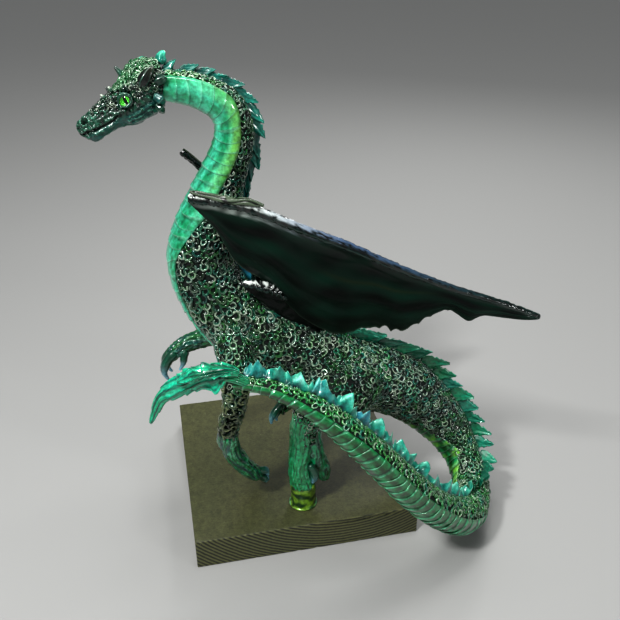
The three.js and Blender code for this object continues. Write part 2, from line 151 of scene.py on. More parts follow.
@dataclass
class Skin:
    """Points, faces and paint of one piece while it is being shaped, in millimetres."""

    points: Array
    faces: list[Array]
    paint: Array

    @staticmethod
    def lofted(rings: Array, paint: Array) -> "Skin":
        """Closes a grid of rings into a solid: quads between rings, a fan at each end.

        Args:
            rings: (m, n, 3) points, each ring counter-clockwise round the way ahead.
            paint: (m, n, 4) colour and rim.

        Returns:
            The closed skin.
        """
        m, n = rings.shape[:2]
        i, j = np.meshgrid(np.arange(m - 1), np.arange(n), indexing="ij")
        a, b = i * n + j, i * n + (j + 1) % n
        quads = np.stack([a, b, b + n, a + n], -1).reshape(-1, 4)
        around = np.arange(n)
        start, end = m * n, m * n + 1
        first = np.stack([np.full(n, start), (around + 1) % n, around], -1)
        rim = (m - 1) * n
        last = np.stack([np.full(n, end), rim + around, rim + (around + 1) % n], -1)
        ends = rings[[0, -1]].mean(1)
        tips = paint[[0, -1]].mean(1)
        skin = Skin(
            np.concatenate([rings.reshape(-1, 3), ends]),
            [quads, first, last],
            np.concatenate([paint.reshape(-1, 4), tips]),
        )
        return skin.facing_out()

    @staticmethod
    def sheet(front: Array, back: Array, paint: Array) -> "Skin":
        """A sheet from its front and back grids of points, painted alike on both faces."""
        rings, paints = (np.concatenate([a, b[:, ::-1]], 1) for a, b in ((front, back), (paint, paint)))
        return Skin.lofted(rings, paints)

    def facing_out(self) -> "Skin":
        """Turns all faces round if the volume that they enclose comes out negative."""
        volume = 0.0
        for faces in self.faces:
            corner = self.points[faces]
            for n in range(1, faces.shape[1] - 1):
                volume += np.einsum("ij,ij->", corner[:, 0], np.cross(corner[:, n], corner[:, n + 1]))
        return self if volume > 0 else Skin(self.points, [f[:, ::-1] for f in self.faces], self.paint)

    @staticmethod
    def joined(parts: list["Skin"]) -> "Skin":
        """Several skins as one."""
        faces, base = [], 0
        for part in parts:
            faces += [f + base for f in part.faces]
            base += len(part.points)
        return Skin(
            np.concatenate([p.points for p in parts]), faces, np.concatenate([p.paint for p in parts])
        )

    def mesh(self, name: str) -> Mesh:
        """Writes the skin to a mesh with its paint as the point attribute 'paint'.

        Args:
            name: the mesh's name.

        Returns:
            The new mesh, smooth shaded.
        """
        mesh = bpy.data.meshes.new(name)
        corners = np.concatenate([f.ravel() for f in self.faces]).astype(np.int32)
        counts = np.concatenate([np.full(len(f), f.shape[1]) for f in self.faces])
        world = (self.points + [0, 0, DECK]) * MM
        mesh.vertices.add(len(world))
        mesh.vertices.foreach_set("co", world.astype(np.float32).ravel())
        mesh.loops.add(len(corners))
        mesh.loops.foreach_set("vertex_index", corners)
        mesh.polygons.add(len(counts))
        mesh.polygons.foreach_set("loop_start", (np.cumsum(counts) - counts).astype(np.int32))
        mesh.update(calc_edges=True)
        return painted(mesh, self.paint)


def rgba(colour: Array, rim: Array) -> Array:
    """Colour with the rim's strength as a fourth channel."""
    rim = np.asarray(rim, float)
    return np.concatenate([np.broadcast_to(colour, rim.shape + (3,)), rim[..., None]], -1)


def painted(mesh: Mesh, paint: Array) -> Mesh:
    """Writes the paint to a mesh as the point attribute 'paint' and shades it smooth."""
    layer = mesh.color_attributes.new("paint", "FLOAT_COLOR", "POINT")
    layer.data.foreach_set("color", paint.astype(np.float32).ravel())
    mesh.polygons.foreach_set("use_smooth", np.ones(len(mesh.polygons), bool))
    return mesh


def corners_of(mesh: Mesh) -> Array:
    """The (n, 3) corners of a mesh, in millimetres above the block."""
    flat = np.empty(len(mesh.vertices) * 3, np.float32)
    mesh.vertices.foreach_get("co", flat)
    return flat.reshape(-1, 3).astype(float) / MM - [0, 0, DECK]


def linked(name: str, data: ID) -> Object:
    """A new object in the scene, at the origin."""
    thing = bpy.data.objects.new(name, data)
    bpy.context.scene.collection.objects.link(thing)
    return thing


def placed_object(mesh: Mesh, material: Material) -> Object:
    """A mesh as an object of its own, with its material."""
    mesh.materials.append(material)
    return linked(mesh.name, mesh)


def wander(x: Array, rng: np.random.Generator, waves: int = 4) -> Array:
    """A smooth wavy line of x: a sum of sines with random pitch and phase, within about 1."""
    pitch = rng.uniform(0.5, 3.0, waves)
    phase = rng.uniform(0, 2 * math.pi, waves)
    return sum(np.sin(x * p + q) for p, q in zip(pitch, phase)) / math.sqrt(2 * waves)


def hand_noise(points: Array, pitch: float, seed: int, waves: int = 7) -> Array:
    """Smooth lumps in space, as fingers leave in clay: the mean of sines along random ways.

    Args:
        points: (..., 3) places in millimetres.
        pitch: distance from lump to lump.
        seed: which lumps.
        waves: how many sines.

    Returns:
        Heights from about -1 to 1.
    """
    rng = np.random.default_rng(seed)
    ways = unit(rng.normal(size=(waves, 3))) * rng.uniform(0.7, 1.6, (waves, 1)) * 2 * math.pi / pitch
    phase = rng.uniform(0, 2 * math.pi, waves)
    return np.sin(points @ ways.T + phase).sum(-1) / math.sqrt(waves)


def creases(points: Array, pitch: float, seed: int) -> Array:
    """Sharp wandering ridges, as on crumpled skin: 1 - 2 |hand noise|."""
    return 1 - 2 * np.abs(hand_noise(points, pitch, seed))


# Finishes


def add(tree: NodeTree, kind: str, sockets: dict | None = None, **settings) -> Node:
    """Adds one shader node.

    Args:
        tree: the material's nodes.
        kind: the node's type.
        sockets: values or output sockets for its inputs, by name or number.
        settings: its own properties.

    Returns:
        The node.
    """
    made = tree.nodes.new(kind)
    for key, value in settings.items():
        setattr(made, key, value)
    for key, value in (sockets or {}).items():
        if isinstance(value, NodeSocket):
            tree.links.new(value, made.inputs[key])
        else:
            made.inputs[key].default_value = value
    return made


def surfaced(material: Material, sockets: dict) -> Material:
    """Gives a material its principled surface and returns it."""
    tree = material.node_tree
    shader = add(tree, "ShaderNodeBsdfPrincipled", sockets)
    add(tree, "ShaderNodeOutputMaterial", {"Surface": shader.outputs["BSDF"]})
    return material


def fresh(name: str) -> tuple[Material, NodeTree]:
    """A new material and its emptied node tree."""
    material = bpy.data.materials.new(name)
    material.use_nodes = True
    material.node_tree.nodes.clear()
    return material, material.node_tree


@dataclass(frozen=True)
class PearlClay:
    """Polymer clay under pearl acrylic and gloss varnish.

    The paint attribute carries the colour, and its fourth channel how far a rim is dry-brushed.
    Mica in the paint gives a soft metallic sheen, the varnish small sharp highlights.
    """

    name: str
    roughness: float = 0.36
    metallic: float = 0.25
    varnish: float = 0.6
    mottle_mm: float = 3.0
    grain_mm: float = 0.5
    grain_depth: float = 0.08
    brush: Paint = Paint.DRY_BRUSH
    brush_strength: float = 0.8
    brush_from: float = 0.55  # the rim strength at which the brush starts to leave paint

    def build(self) -> Material:
        """Makes the material: paint, mottled by large noise, brushed pale on the rims."""
        material, tree = fresh(self.name)
        place = add(tree, "ShaderNodeTexCoord").outputs["Object"]
        paint = add(tree, "ShaderNodeAttribute", attribute_name="paint")
        mottle = add(
            tree, "ShaderNodeTexNoise",
            {"Vector": place, "Scale": 1 / (self.mottle_mm * MM), "Detail": 3.0, "Roughness": 0.6},
        )
        shade = add(
            tree, "ShaderNodeMapRange",
            {"Value": mottle.outputs["Fac"], "From Min": 0.3, "From Max": 0.7, "To Min": 0.5, "To Max": 1.4},
        )
        varied = add(
            tree, "ShaderNodeVectorMath",
            {0: paint.outputs["Color"], "Scale": shade.outputs["Result"]}, operation="SCALE",
        )
        grain = add(
            tree, "ShaderNodeTexNoise",
            {"Vector": place, "Scale": 1 / (self.grain_mm * MM), "Detail": 2.0},
        )
        patchy = add(
            tree, "ShaderNodeMapRange",
            {"Value": mottle.outputs["Fac"], "From Min": 0.35, "From Max": 0.6,
             "To Min": 0.25, "To Max": self.brush_strength},
        )
        rim = add(
            tree, "ShaderNodeMapRange",
            {"Value": paint.outputs["Alpha"], "From Min": self.brush_from,
             "To Max": patchy.outputs["Result"]},
        )
        brushed = add(
            tree, "ShaderNodeMix",
            {"Factor": rim.outputs["Result"], 6: varied.outputs["Vector"], 7: (*self.brush.rgb, 1)},
            data_type="RGBA",
        )
        dent = add(
            tree, "ShaderNodeBump",
            {"Height": grain.outputs["Fac"], "Strength": self.grain_depth, "Distance": 0.001},
        )
        return surfaced(material, {
            "Base Color": brushed.outputs[2], "Metallic": self.metallic, "Roughness": self.roughness,
            "Coat Weight": self.varnish, "Coat Roughness": 0.07, "Normal": dent.outputs["Normal"],
        })


@dataclass(frozen=True)
class BlackLacquer:
    """Green-black clay skin under lacquer: matt on the stretched skin, glossy on rolls and folds.

    The paint attribute's fourth channel says how thick the gloss lies.
    """

    name: str = "black_lacquer_on_clay"
    streak_mm: float = 9.0
    roughness: float = 0.5

    def build(self) -> Material:
        """Makes the material with the uneven surface of brushed lacquer."""
        material, tree = fresh(self.name)
        place = add(tree, "ShaderNodeTexCoord").outputs["Object"]
        paint = add(tree, "ShaderNodeAttribute", attribute_name="paint")
        wave = add(
            tree, "ShaderNodeTexNoise",
            {"Vector": place, "Scale": 1 / (self.streak_mm * MM), "Detail": 5.0, "Roughness": 0.65},
        )
        dent = add(
            tree, "ShaderNodeBump", {"Height": wave.outputs["Fac"], "Strength": 0.2, "Distance": 0.001}
        )
        return surfaced(material, {
            "Base Color": paint.outputs["Color"], "Roughness": self.roughness, "IOR": 1.45,
            "Specular IOR Level": 0.16, "Coat Weight": paint.outputs["Alpha"], "Coat Roughness": 0.1,
            "Coat IOR": 1.6, "Normal": dent.outputs["Normal"], "Coat Normal": dent.outputs["Normal"],
        })


@dataclass(frozen=True)
class StainedWood:
    """Softwood board under olive-brown stain: year rings on the end grain, fibres along the top."""

    name: str = "stained_pine"
    ring_mm: float = 3.2  # from year ring to year ring
    heart: tuple[float, float, float] = (0.035, 0.0, 0.15)  # where the tree's middle would lie, metres
    fibre_mm: float = 0.8
    speck_mm: float = 1.6

    def build(self) -> Material:
        """Makes the material: rings round an axis along Y, cross-brushed stain and pale specks."""
        material, tree = fresh(self.name)
        place = add(tree, "ShaderNodeTexCoord").outputs["Object"]
        heart = tuple(-h for h in self.heart)
        centred = add(tree, "ShaderNodeMapping", {"Vector": place, "Location": heart})
        wave = 2 * math.pi / (20 * self.ring_mm * MM)  # Blender's rings repeat every 2 pi / (20 scale)
        years = add(
            tree, "ShaderNodeTexWave",
            {"Vector": centred.outputs["Vector"], "Scale": wave, "Distortion": 3.0, "Detail": 3.0,
             "Detail Scale": 0.25, "Detail Roughness": 0.6},
            wave_type="RINGS", rings_direction="Y",
        )
        brushed = []
        for stretch, fibre in (((0.35, 1.0, 1.0), self.fibre_mm), ((1.0, 0.8, 1.0), 5 * self.fibre_mm)):
            along = add(tree, "ShaderNodeMapping", {"Vector": place, "Scale": stretch})
            brushed.append(add(
                tree, "ShaderNodeTexNoise",
                {"Vector": along.outputs["Vector"], "Scale": 1 / (fibre * MM), "Detail": 5.0,
                 "Roughness": 0.75},
            ).outputs["Fac"])
        weave = add(tree, "ShaderNodeMath", {0: brushed[0], 1: brushed[1]}, operation="ADD")
        end_grain = add(tree, "ShaderNodeAttribute", attribute_name="paint").outputs["Alpha"]
        ringed = add(
            tree, "ShaderNodeMix",
            {"Factor": end_grain, 2: 0.5, 3: years.outputs["Fac"]}, data_type="FLOAT",
        )
        both = {0: weave.outputs["Value"], 1: ringed.outputs[0]}
        tone = add(tree, "ShaderNodeMath", both, operation="ADD")
        ramp = add(
            tree, "ShaderNodeMapRange",
            {"Value": tone.outputs["Value"], "From Min": 1.05, "From Max": 1.95},
        )
        wide = add(tree, "ShaderNodeTexNoise", {"Vector": place, "Scale": 14.0, "Detail": 2.0})
        warm = add(
            tree, "ShaderNodeMix",
            {"Factor": wide.outputs["Fac"], 6: (*linear("#565d3c"), 1), 7: (*linear("#6c6a40"), 1)},
            data_type="RGBA",
        )
        colour = add(
            tree, "ShaderNodeMix",
            {"Factor": ramp.outputs["Result"], 6: (*linear("#14170e"), 1), 7: warm.outputs[2]},
            data_type="RGBA",
        )
        dust = add(tree, "ShaderNodeTexNoise", {"Vector": place, "Scale": 1 / (self.speck_mm * MM)})
        speck = add(
            tree, "ShaderNodeMapRange",
            {"Value": dust.outputs["Fac"], "From Min": 0.74, "From Max": 0.8, "To Max": 0.7},
        )
        dusty = add(
            tree, "ShaderNodeMix",
            {"Factor": speck.outputs["Result"], 6: colour.outputs[2], 7: (*linear("#9a9a78"), 1)},
            data_type="RGBA",
        )
        dent = add(
            tree, "ShaderNodeBump", {"Height": tone.outputs["Value"], "Strength": 0.35, "Distance": 0.0004}
        )
        return surfaced(material, {
            "Base Color": dusty.outputs[2], "Roughness": 0.55, "Coat Weight": 0.1,
            "Coat Roughness": 0.35, "Normal": dent.outputs["Normal"],
        })


@dataclass(frozen=True)
class PaintedIris:
    """Bright acrylic on the disc behind the glass, its colours from the paint attribute, with a painted glow
    in the same colours.
    """

    name: str = "painted_iris"
    roughness: float = 0.35
    painted_glow: float = 0.3  # painted glow: the paint gives off light of its own colour, in place of the light that the glass would gather on it

    def build(self) -> Material:
        """Makes the material."""
        material, tree = fresh(self.name)
        paint = add(tree, "ShaderNodeAttribute", attribute_name="paint")
        return surfaced(material, {
            "Base Color": paint.outputs["Color"], "Roughness": self.roughness,
            "Emission Color": paint.outputs["Color"], "Emission Strength": self.painted_glow,
        })


@dataclass(frozen=True)
class PlainFinish:
    """An even finish: one colour, one gloss."""

    name: str
    colour: str
    roughness: float
    clear: float = 0.0

    def build(self) -> Material:
        """Makes the material."""
        material, _ = fresh(self.name)
        return surfaced(material, {
            "Base Color": (*linear(self.colour), 1), "Roughness": self.roughness,
            "Transmission Weight": self.clear, "IOR": 1.5,
        })


# The figure's lines


@dataclass
class Stations:
    """Places along a tube: centre, way ahead, up, across and radius, as arrays."""

    centre: Array
    ahead: Array
    up: Array
    across: Array
    radius: Array

    def around(self, angle: Array, reach: Array) -> Array:
        """Points at an angle in degrees from up, towards the near side, at reach from the centre."""
        turn = np.radians(angle)[..., None]
        return self.centre + (self.up * np.cos(turn) - self.across * np.sin(turn)) * reach[..., None]

    def outward(self, angle: Array) -> Array:
        """Unit vectors out of the tube at an angle in degrees from up."""
        turn = np.radians(angle)[..., None]
        return self.up * np.cos(turn) - self.across * np.sin(turn)


@dataclass
class Tube:
    """A line of clay: rows of x, y, z and radius, with the way that its top points."""

    rows: Array
    hint: Array

    @property
    def last(self) -> int:
        """The number of the last row."""
        return len(self.rows) - 1

    def at(self, s: Array) -> Stations:
        """Reads the line at row numbers of any shape.

        Args:
            s: row numbers.

        Returns:
            The stations there.
        """
        s = np.asarray(s, float)
        ahead = unit(curve(self.rows, s + 0.1)[..., :3] - curve(self.rows, s - 0.1)[..., :3])
        here = curve(self.rows, s)
        hints = curve(self.hint, s) if self.hint.ndim == 2 else np.broadcast_to(self.hint, ahead.shape)
        up = squared(hints, ahead)
        return Stations(here[..., :3], ahead, up, np.cross(up, ahead), here[..., 3])

    def length(self, start: float, end: float) -> tuple[Array, Array]:
        """Row numbers on a fine grid, and the length travelled to each in millimetres."""
        s = np.linspace(start, end, int((end - start) * 40) + 2)
        steps = np.linalg.norm(np.diff(self.at(s).centre, axis=0), axis=1)
        return s, np.concatenate([[0], np.cumsum(steps)])

    def rounded(self, rings: int, sides: int) -> tuple[Array, Array, Stations]:
        """Rings that crowd towards both ends, where the radius falls off as a half circle.

        Args:
            rings: how many rings.
            sides: places round each.

        Returns:
            Row numbers and angles in degrees, both (rings, sides), and the stations.
        """
        s = self.last * (0.5 - 0.5 * np.cos(np.linspace(0, math.pi, rings)))
        s, angle = np.meshgrid(s, np.linspace(0, 360, sides, endpoint=False), indexing="ij")
        here = self.at(s)
        run = np.interp(s, *self.length(0, self.last))
        near = [np.clip(run / self.rows[0, 3], 0, 1), np.clip((run[-1] - run) / self.rows[-1, 3], 0, 1)]
        fall = np.sqrt(1 - (1 - near[0]) ** 2) * np.sqrt(1 - (1 - near[1]) ** 2)
        here.radius = here.radius * np.clip(fall, 0.06, 1)
        return s, angle, here

    def skin(self, rings: int, sides: int, shrink: float) -> Skin:
        """The bare tube as a closed skin."""
        turns = np.linspace(0, 360, sides, endpoint=False)
        s, angle = np.meshgrid(np.linspace(0, self.last, rings), turns, indexing="ij")
        here = self.at(s)
        points = here.around(angle, here.radius - shrink)
        return Skin.lofted(points, rgba(Paint.WASH.rgb, np.zeros(s.shape)))

    def holds(self, points: Array, inset: float) -> Array:
        """Which points lie inside the tube by more than inset."""
        here = self.at(np.linspace(0, self.last, 60))
        gap = np.linalg.norm(points[:, None, :] - here.centre[None], axis=-1) - here.radius[None]
        return gap.min(1) < -inset


SPINE = np.array([
    [-98, -37, 371, 10.5, 0, 0.35, 1],
    [-82, -36, 369, 12.3, 0, 0.4, 1],
    [-65, -35, 364.5, 13.3, 0.2, 0.42, 1],
    [-48, -35, 355, 14.6, 0.7, 0.3, 0.8],
    [-40.5, -35, 341, 15, 1, 0.15, 0.25],
    [-41, -35, 326, 15.8, 1, 0.1, -0.1],
    [-46, -35, 311, 17, 1, 0.05, -0.3],
    [-53, -35, 294, 19.5, 1, 0, -0.35],
    [-60, -35, 276, 22.5, 1, 0, -0.3],
    [-67, -35, 256, 25.7, 1, 0, -0.2],
    [-71.5, -35, 234.5, 27, 1, 0, 0],
    [-65, -35, 210, 28.8, 1, 0, 0.35],
    [-49, -35, 183, 31.5, 0.8, 0, 0.8],
    [-24, -35, 160, 33.5, 0.5, 0, 1],
    [6, -35, 140, 32, 0.4, 0, 1],
    [38, -35, 121, 32.5, 0.4, 0, 1],
    [70, -35, 105, 33, 0.4, 0, 1],
    [100, -35, 88, 31, 0.45, 0, 1],
    [124, -37, 65, 27, 0.8, 0, 0.8],
    [144, -43, 40, 22.5, 1, 0, 0.65],
    [156, -57, 18, 18.5, 1, 0.1, 0.7],
    [157, -81, 4, 17.6, 0.6, 0.25, 1],
    [147, -107, 1.5, 17.6, 0.3, 0.35, 1],
    [127, -128, 11.5, 17.6, 0, 0.3, 1],
    [100, -142, 38, 16.3, 0, 0.3, 1],
    [75, -150, 68, 15.3, 0, 0.3, 1],
    [53, -154, 98, 14.6, 0, 0.3, 1],
    [34, -155, 123, 13.8, 0, 0.3, 1],
    [16, -154, 144, 12.6, 0, 0.3, 1],
    [-1, -150, 160, 11, 0, 0.3, 1],
    [-18, -144, 171, 9.3, 0, 0.3, 1],
    [-36, -138, 179, 7.8, 0, 0.3, 1],
    [-54, -133, 182, 6.4, 0, 0.3, 1],
    [-68, -128, 180, 3.5, 0, 0.3, 1],
], float)
TRUNK = Tube(SPINE[:, :4], SPINE[:, 4:])


LIMB_TOP = np.array([0.35, -0.9, 0.25])  # the way that the top of every limb and claw points


def limb(*rows: tuple[float, ...]) -> Tube:
    """A limb through rows of x, y, z and radius."""
    return Tube(np.array(rows, float), LIMB_TOP)


NEAR_THIGH = limb((58, -40, 108, 30), (40, -60, 112, 27), (22, -71, 115, 22), (8, -74, 107, 17),
                  (3, -74, 90, 13), (2, -73, 72, 11.5))
NEAR_SHOULDER = limb((-48, -38, 189, 18), (-52, -58, 170, 18), (-54, -73, 148, 13.5), (-56, -77, 126, 10.8),
                     (-62, -77, 104, 9.3), (-64, -75, 88, 8.8))
FAR_SHOULDER = limb((-44, -20, 172, 20), (-60, -13, 154, 9.5), (-76, -8, 145.5, 6.2))
FAR_THIGH = limb((50, -20, 105, 26), (28, 2, 108, 22), (10, 8, 95, 15), (0, 4, 75, 11), (-3, -2, 60, 9),
                 (-8, -5, 52, 5))


@dataclass
class Core:
    """The clay body under the scales: trunk, thighs and shoulders blended into one form."""

    voxel: float = 2.3
    smoothing: int = 6
    scale_room: float = 2.6  # how far the bare clay lies under the scales' tops

    def build(self) -> Mesh:
        """Joins the tubes, remeshes them on a voxel grid and smooths the creases.

        Returns:
            The blended mesh, in metres, with its paint.
        """
        parts = [TRUNK.skin(220, 48, self.scale_room)]
        for tube in (NEAR_THIGH, NEAR_SHOULDER, FAR_SHOULDER, FAR_THIGH):
            parts.append(tube.skin(60, 40, self.scale_room))
        rough = placed_object(Skin.joined(parts).mesh("core_rough"), bpy.data.materials.new("unused"))
        grid = rough.modifiers.new("blend", "REMESH")
        grid.mode = "VOXEL"
        grid.voxel_size = self.voxel * MM
        relax = rough.modifiers.new("relax", "SMOOTH")
        relax.factor = 0.5
        relax.iterations = self.smoothing
        view = bpy.context.evaluated_depsgraph_get()
        mesh = bpy.data.meshes.new_from_object(rough.evaluated_get(view))
        bpy.data.objects.remove(rough)
        mesh.name = "body"
        mesh.materials.clear()
        for old in list(mesh.color_attributes):
            mesh.color_attributes.remove(old)
        lumps = hand_noise(corners_of(mesh) + [0, 0, DECK], 14, 3)
        # near black: partly the clay's own dark wash, partly painted shade, taken darker still because the
        # bare clay shows only in the hollows between the scales
        colour = blend(Paint.WASH.rgb * 0.5, Paint.DARK_GREEN.rgb, 0.12 + 0.12 * lumps)
        return painted(mesh, rgba(colour, np.zeros(len(lumps))))


def seated(points: Array, surface: Object) -> tuple[Array, Array]:
    """Moves points to the nearest places on a surface.

    Args:
        points: (n, 3) places in millimetres above the block.
        surface: the object to sit on.

    Returns:
        The places on it, and its normals there.
    """
    lift = 1.0
    cloud = bpy.data.meshes.new("places")
    cloud.vertices.add(len(points))
    cloud.vertices.foreach_set("co", ((points + [0, 0, DECK]) * MM).astype(np.float32).ravel())
    holder = linked("places", cloud)
    wrap = holder.modifiers.new("seat", "SHRINKWRAP")
    wrap.target = surface
    wrap.wrap_method = "NEAREST_SURFACEPOINT"
    wrap.wrap_mode = "ABOVE_SURFACE"
    found = []
    for offset in (0.0, lift):
        wrap.offset = offset * MM
        bpy.context.view_layer.update()
        view = bpy.context.evaluated_depsgraph_get()
        found.append(corners_of(holder.evaluated_get(view).data))
    bpy.data.objects.remove(holder)
    return found[0], unit(found[1] - found[0])


@dataclass
class ScaleField:
    """Where scales lie on one tube: rows along it, and places round each row."""

    tube: Tube
    start: float
    end: float
    pitch: Array  # rows of (s, distance from row to row, scale width, belly half angle)
    others: tuple[Tube, ...]
    seed: int

    def places(self) -> tuple[Array, Array, Array, Array]:
        """Lays rows of places from the head end to the tail end.

        Returns:
            Places, the way ahead at each, scale widths, and row numbers along the tube.
        """
        rng = np.random.default_rng(self.seed)
        s, run = self.tube.length(self.start, self.end)
        step, wide, belly = table(self.pitch, s)
        count = counted(run, step)
        rows = np.arange(int(count[-1]))
        s_row = np.interp(rows, count, s)
        half = 180 - np.interp(s_row, s, belly)
        width = np.interp(s_row, s, wide)
        radius = self.tube.at(s_row).radius
        each = np.maximum(1, np.round(np.radians(2 * half) * radius / width)).astype(int)
        row = np.repeat(rows, each)
        order = np.arange(each.sum()) - np.repeat(np.cumsum(each) - each, each)
        share = (order + 0.5 + 0.5 * (row % 2) + rng.uniform(-0.22, 0.22, len(row))) / each[row]
        angle = (2 * share - 1) * half[row]
        place_s = s_row[row] + rng.uniform(-0.25, 0.25, len(row)) * np.gradient(s_row)[row]
        here = self.tube.at(place_s)
        points = here.around(angle, here.radius)
        keep = np.ones(len(points), bool)
        for other in self.others:
            keep &= ~other.holds(points, 5.0)
        return points[keep], here.ahead[keep], width[row][keep], place_s[keep]


@dataclass
class BareClay:
    """Finds bare clay between the rows of scales."""

    spacing: float = 4.6
    reach: float = 3.5  # how far bare clay lies from the middle of the nearest scale
    start: float = 0.4  # row on the spine
    end: float = 32.3
    plate_room: float = 4.0  # degrees kept free beside the belly plates

    def places(self, body: Object, placed: Array) -> tuple[Array, Array, Array]:
        """Picks one corner of the body's mesh in each bare cell of a grid.

        Args:
            body: the bare body.
            placed: (n, 3) places of the scales that are there already.

        Returns:
            Places for more scales, the way ahead at each and its row number on the spine.
        """
        points = corners_of(body.data)
        points = points[np.random.default_rng(SEED + 40).permutation(len(points))]
        cell = np.floor(points / self.spacing).astype(int)
        points = points[np.unique(cell, axis=0, return_index=True)[1]]
        bare = np.concatenate([
            np.linalg.norm(part[:, None] - placed[None], axis=-1).min(1) > self.reach
            for part in np.array_split(points, 12)
        ])
        points = points[bare]
        s = np.linspace(0, TRUNK.last, 400)
        line = TRUNK.at(s)
        gap = np.linalg.norm(points[:, None] - line.centre[None], axis=-1) - line.radius[None]
        nearest = gap.argmin(1)
        off = points - line.centre[nearest]
        angle = np.degrees(np.arctan2(-(off * line.across[nearest]).sum(1), (off * line.up[nearest]).sum(1)))
        half = table(TRUNK_SCALES, s[nearest])[2]
        belly = (180 - np.abs(angle) < half + self.plate_room) & (gap.min(1) < 1.0)
        ends = (s[nearest] < self.start) | (s[nearest] > self.end)
        points, nearest = points[~belly & ~ends], nearest[~belly & ~ends]
        close = np.linalg.norm(points[:, None] - points[None], axis=-1) < 0.72 * self.spacing
        rank = np.arange(len(points))
        keep = ~(close & (rank[None] < rank[:, None])).any(1)
        return points[keep], line.ahead[nearest[keep]], s[nearest[keep]]


@dataclass
class RingScales:
    """Small rings of rolled clay, each a rounded ridge round a hollow, higher towards the tail."""

    height: float = 2.1
    sunk: float = 0.9
    steps: int = 10
    opening: float = 150.0  # the widest gap that is left towards the head, in degrees
    turned: float = 0.9  # scatter of the way that the gap faces, in radians

    def build(
        self, places: Array, normals: Array, ahead: Array, width: Array,
        deep: Array, top: Array, seed: int,
    ) -> Skin:
        """Presses a ring at each place.

        Each ring follows an angle a from one side of its gap round to the other, with a section
        of outer foot, outer shoulder, crest, inner shoulder and inner foot. Its reach is about
        half the width times 1 + e cos(2a + p), with its own e and p, and its height falls towards
        the gap.

        Args:
            places: (n, 3) places on the clay.
            normals: unit normals there.
            ahead: the way to the tail.
            width: widths of the rings.
            deep: (n, 3) colour of the hollows.
            top: (n, 3) colour of the ridges.
            seed: which hand.

        Returns:
            All rings as one skin.
        """
        rng = np.random.default_rng(seed)
        n = len(places)
        turn = rng.normal(0, self.turned, n)[:, None]
        t = squared(ahead, normals)
        b = np.cross(normals, t)
        t, b = t * np.cos(turn) + b * np.sin(turn), b * np.cos(turn) - t * np.sin(turn)
        lean = rng.normal(0, 0.17, (n, 2))
        normals = unit(normals + t * (0.10 + lean[:, :1]) + b * lean[:, 1:])
        span = math.pi - math.radians(self.opening) * rng.uniform(0.05, 1.0, n) ** 1.5 / 2
        a = np.linspace(-1, 1, self.steps)[None, :] * span[:, None]
        size = width * rng.uniform(0.41, 0.63, n)
        stretch = rng.uniform(0.0, 0.26, n)[:, None]
        reach = size[:, None] * (1 + stretch * np.cos(2 * a + rng.uniform(0, 6.3, n)[:, None]))
        reach = reach * (1 + 0.07 * np.sin(3 * a + rng.uniform(0, 6.3, n)[:, None]))
        tall = self.height * rng.uniform(0.6, 1.0, n)[:, None] * (0.74 + 0.26 * np.cos(a))
        tall = tall * np.clip(width / 5.6, 0.5, 1.0)[:, None]
        inner = rng.uniform(0.28, 0.44, n)[:, None] * np.ones_like(a)
        one = np.ones_like(a)
        shares = np.stack([1.1 * one, 1.02 * one, 0.62 * one + 0.36 * inner, inner + 0.12, inner], -1)
        radial = reach[..., None] * shares
        foot = -self.sunk * one
        rise = np.stack([foot, tall * 0.72, tall, tall * 0.62, foot * 0.8], -1)
        way = t[:, None, :] * np.cos(a)[..., None] + b[:, None, :] * np.sin(a)[..., None]
        points = (
            places[:, None, None, :] + way[:, :, None, :] * radial[..., None]
            + normals[:, None, None, :] * rise[..., None]
        )
        level = np.broadcast_to(np.array([0.0, 0.7, 1.0, 0.6, 0.0]), (n, self.steps, 5))
        colour = blend(deep[:, None, None, :], top[:, None, None, :], level)
        rim = level * rng.uniform(0.55, 1.0, n)[:, None, None]
        paint = np.concatenate([colour, rim[..., None]], -1)
        grid = np.arange(n * self.steps * 5).reshape(n, self.steps, 5)
        here, after = grid[:, :-1], grid[:, 1:]
        quads = np.stack([here, after, np.roll(after, -1, -1), np.roll(here, -1, -1)], -1)
        caps = np.concatenate([grid[:, 0], grid[:, -1, ::-1]])
        rings = Skin(points.reshape(-1, 3), [quads.reshape(-1, 4), caps], paint.reshape(-1, 4))
        return rings.facing_out()


# Belly, crest, tail leaf


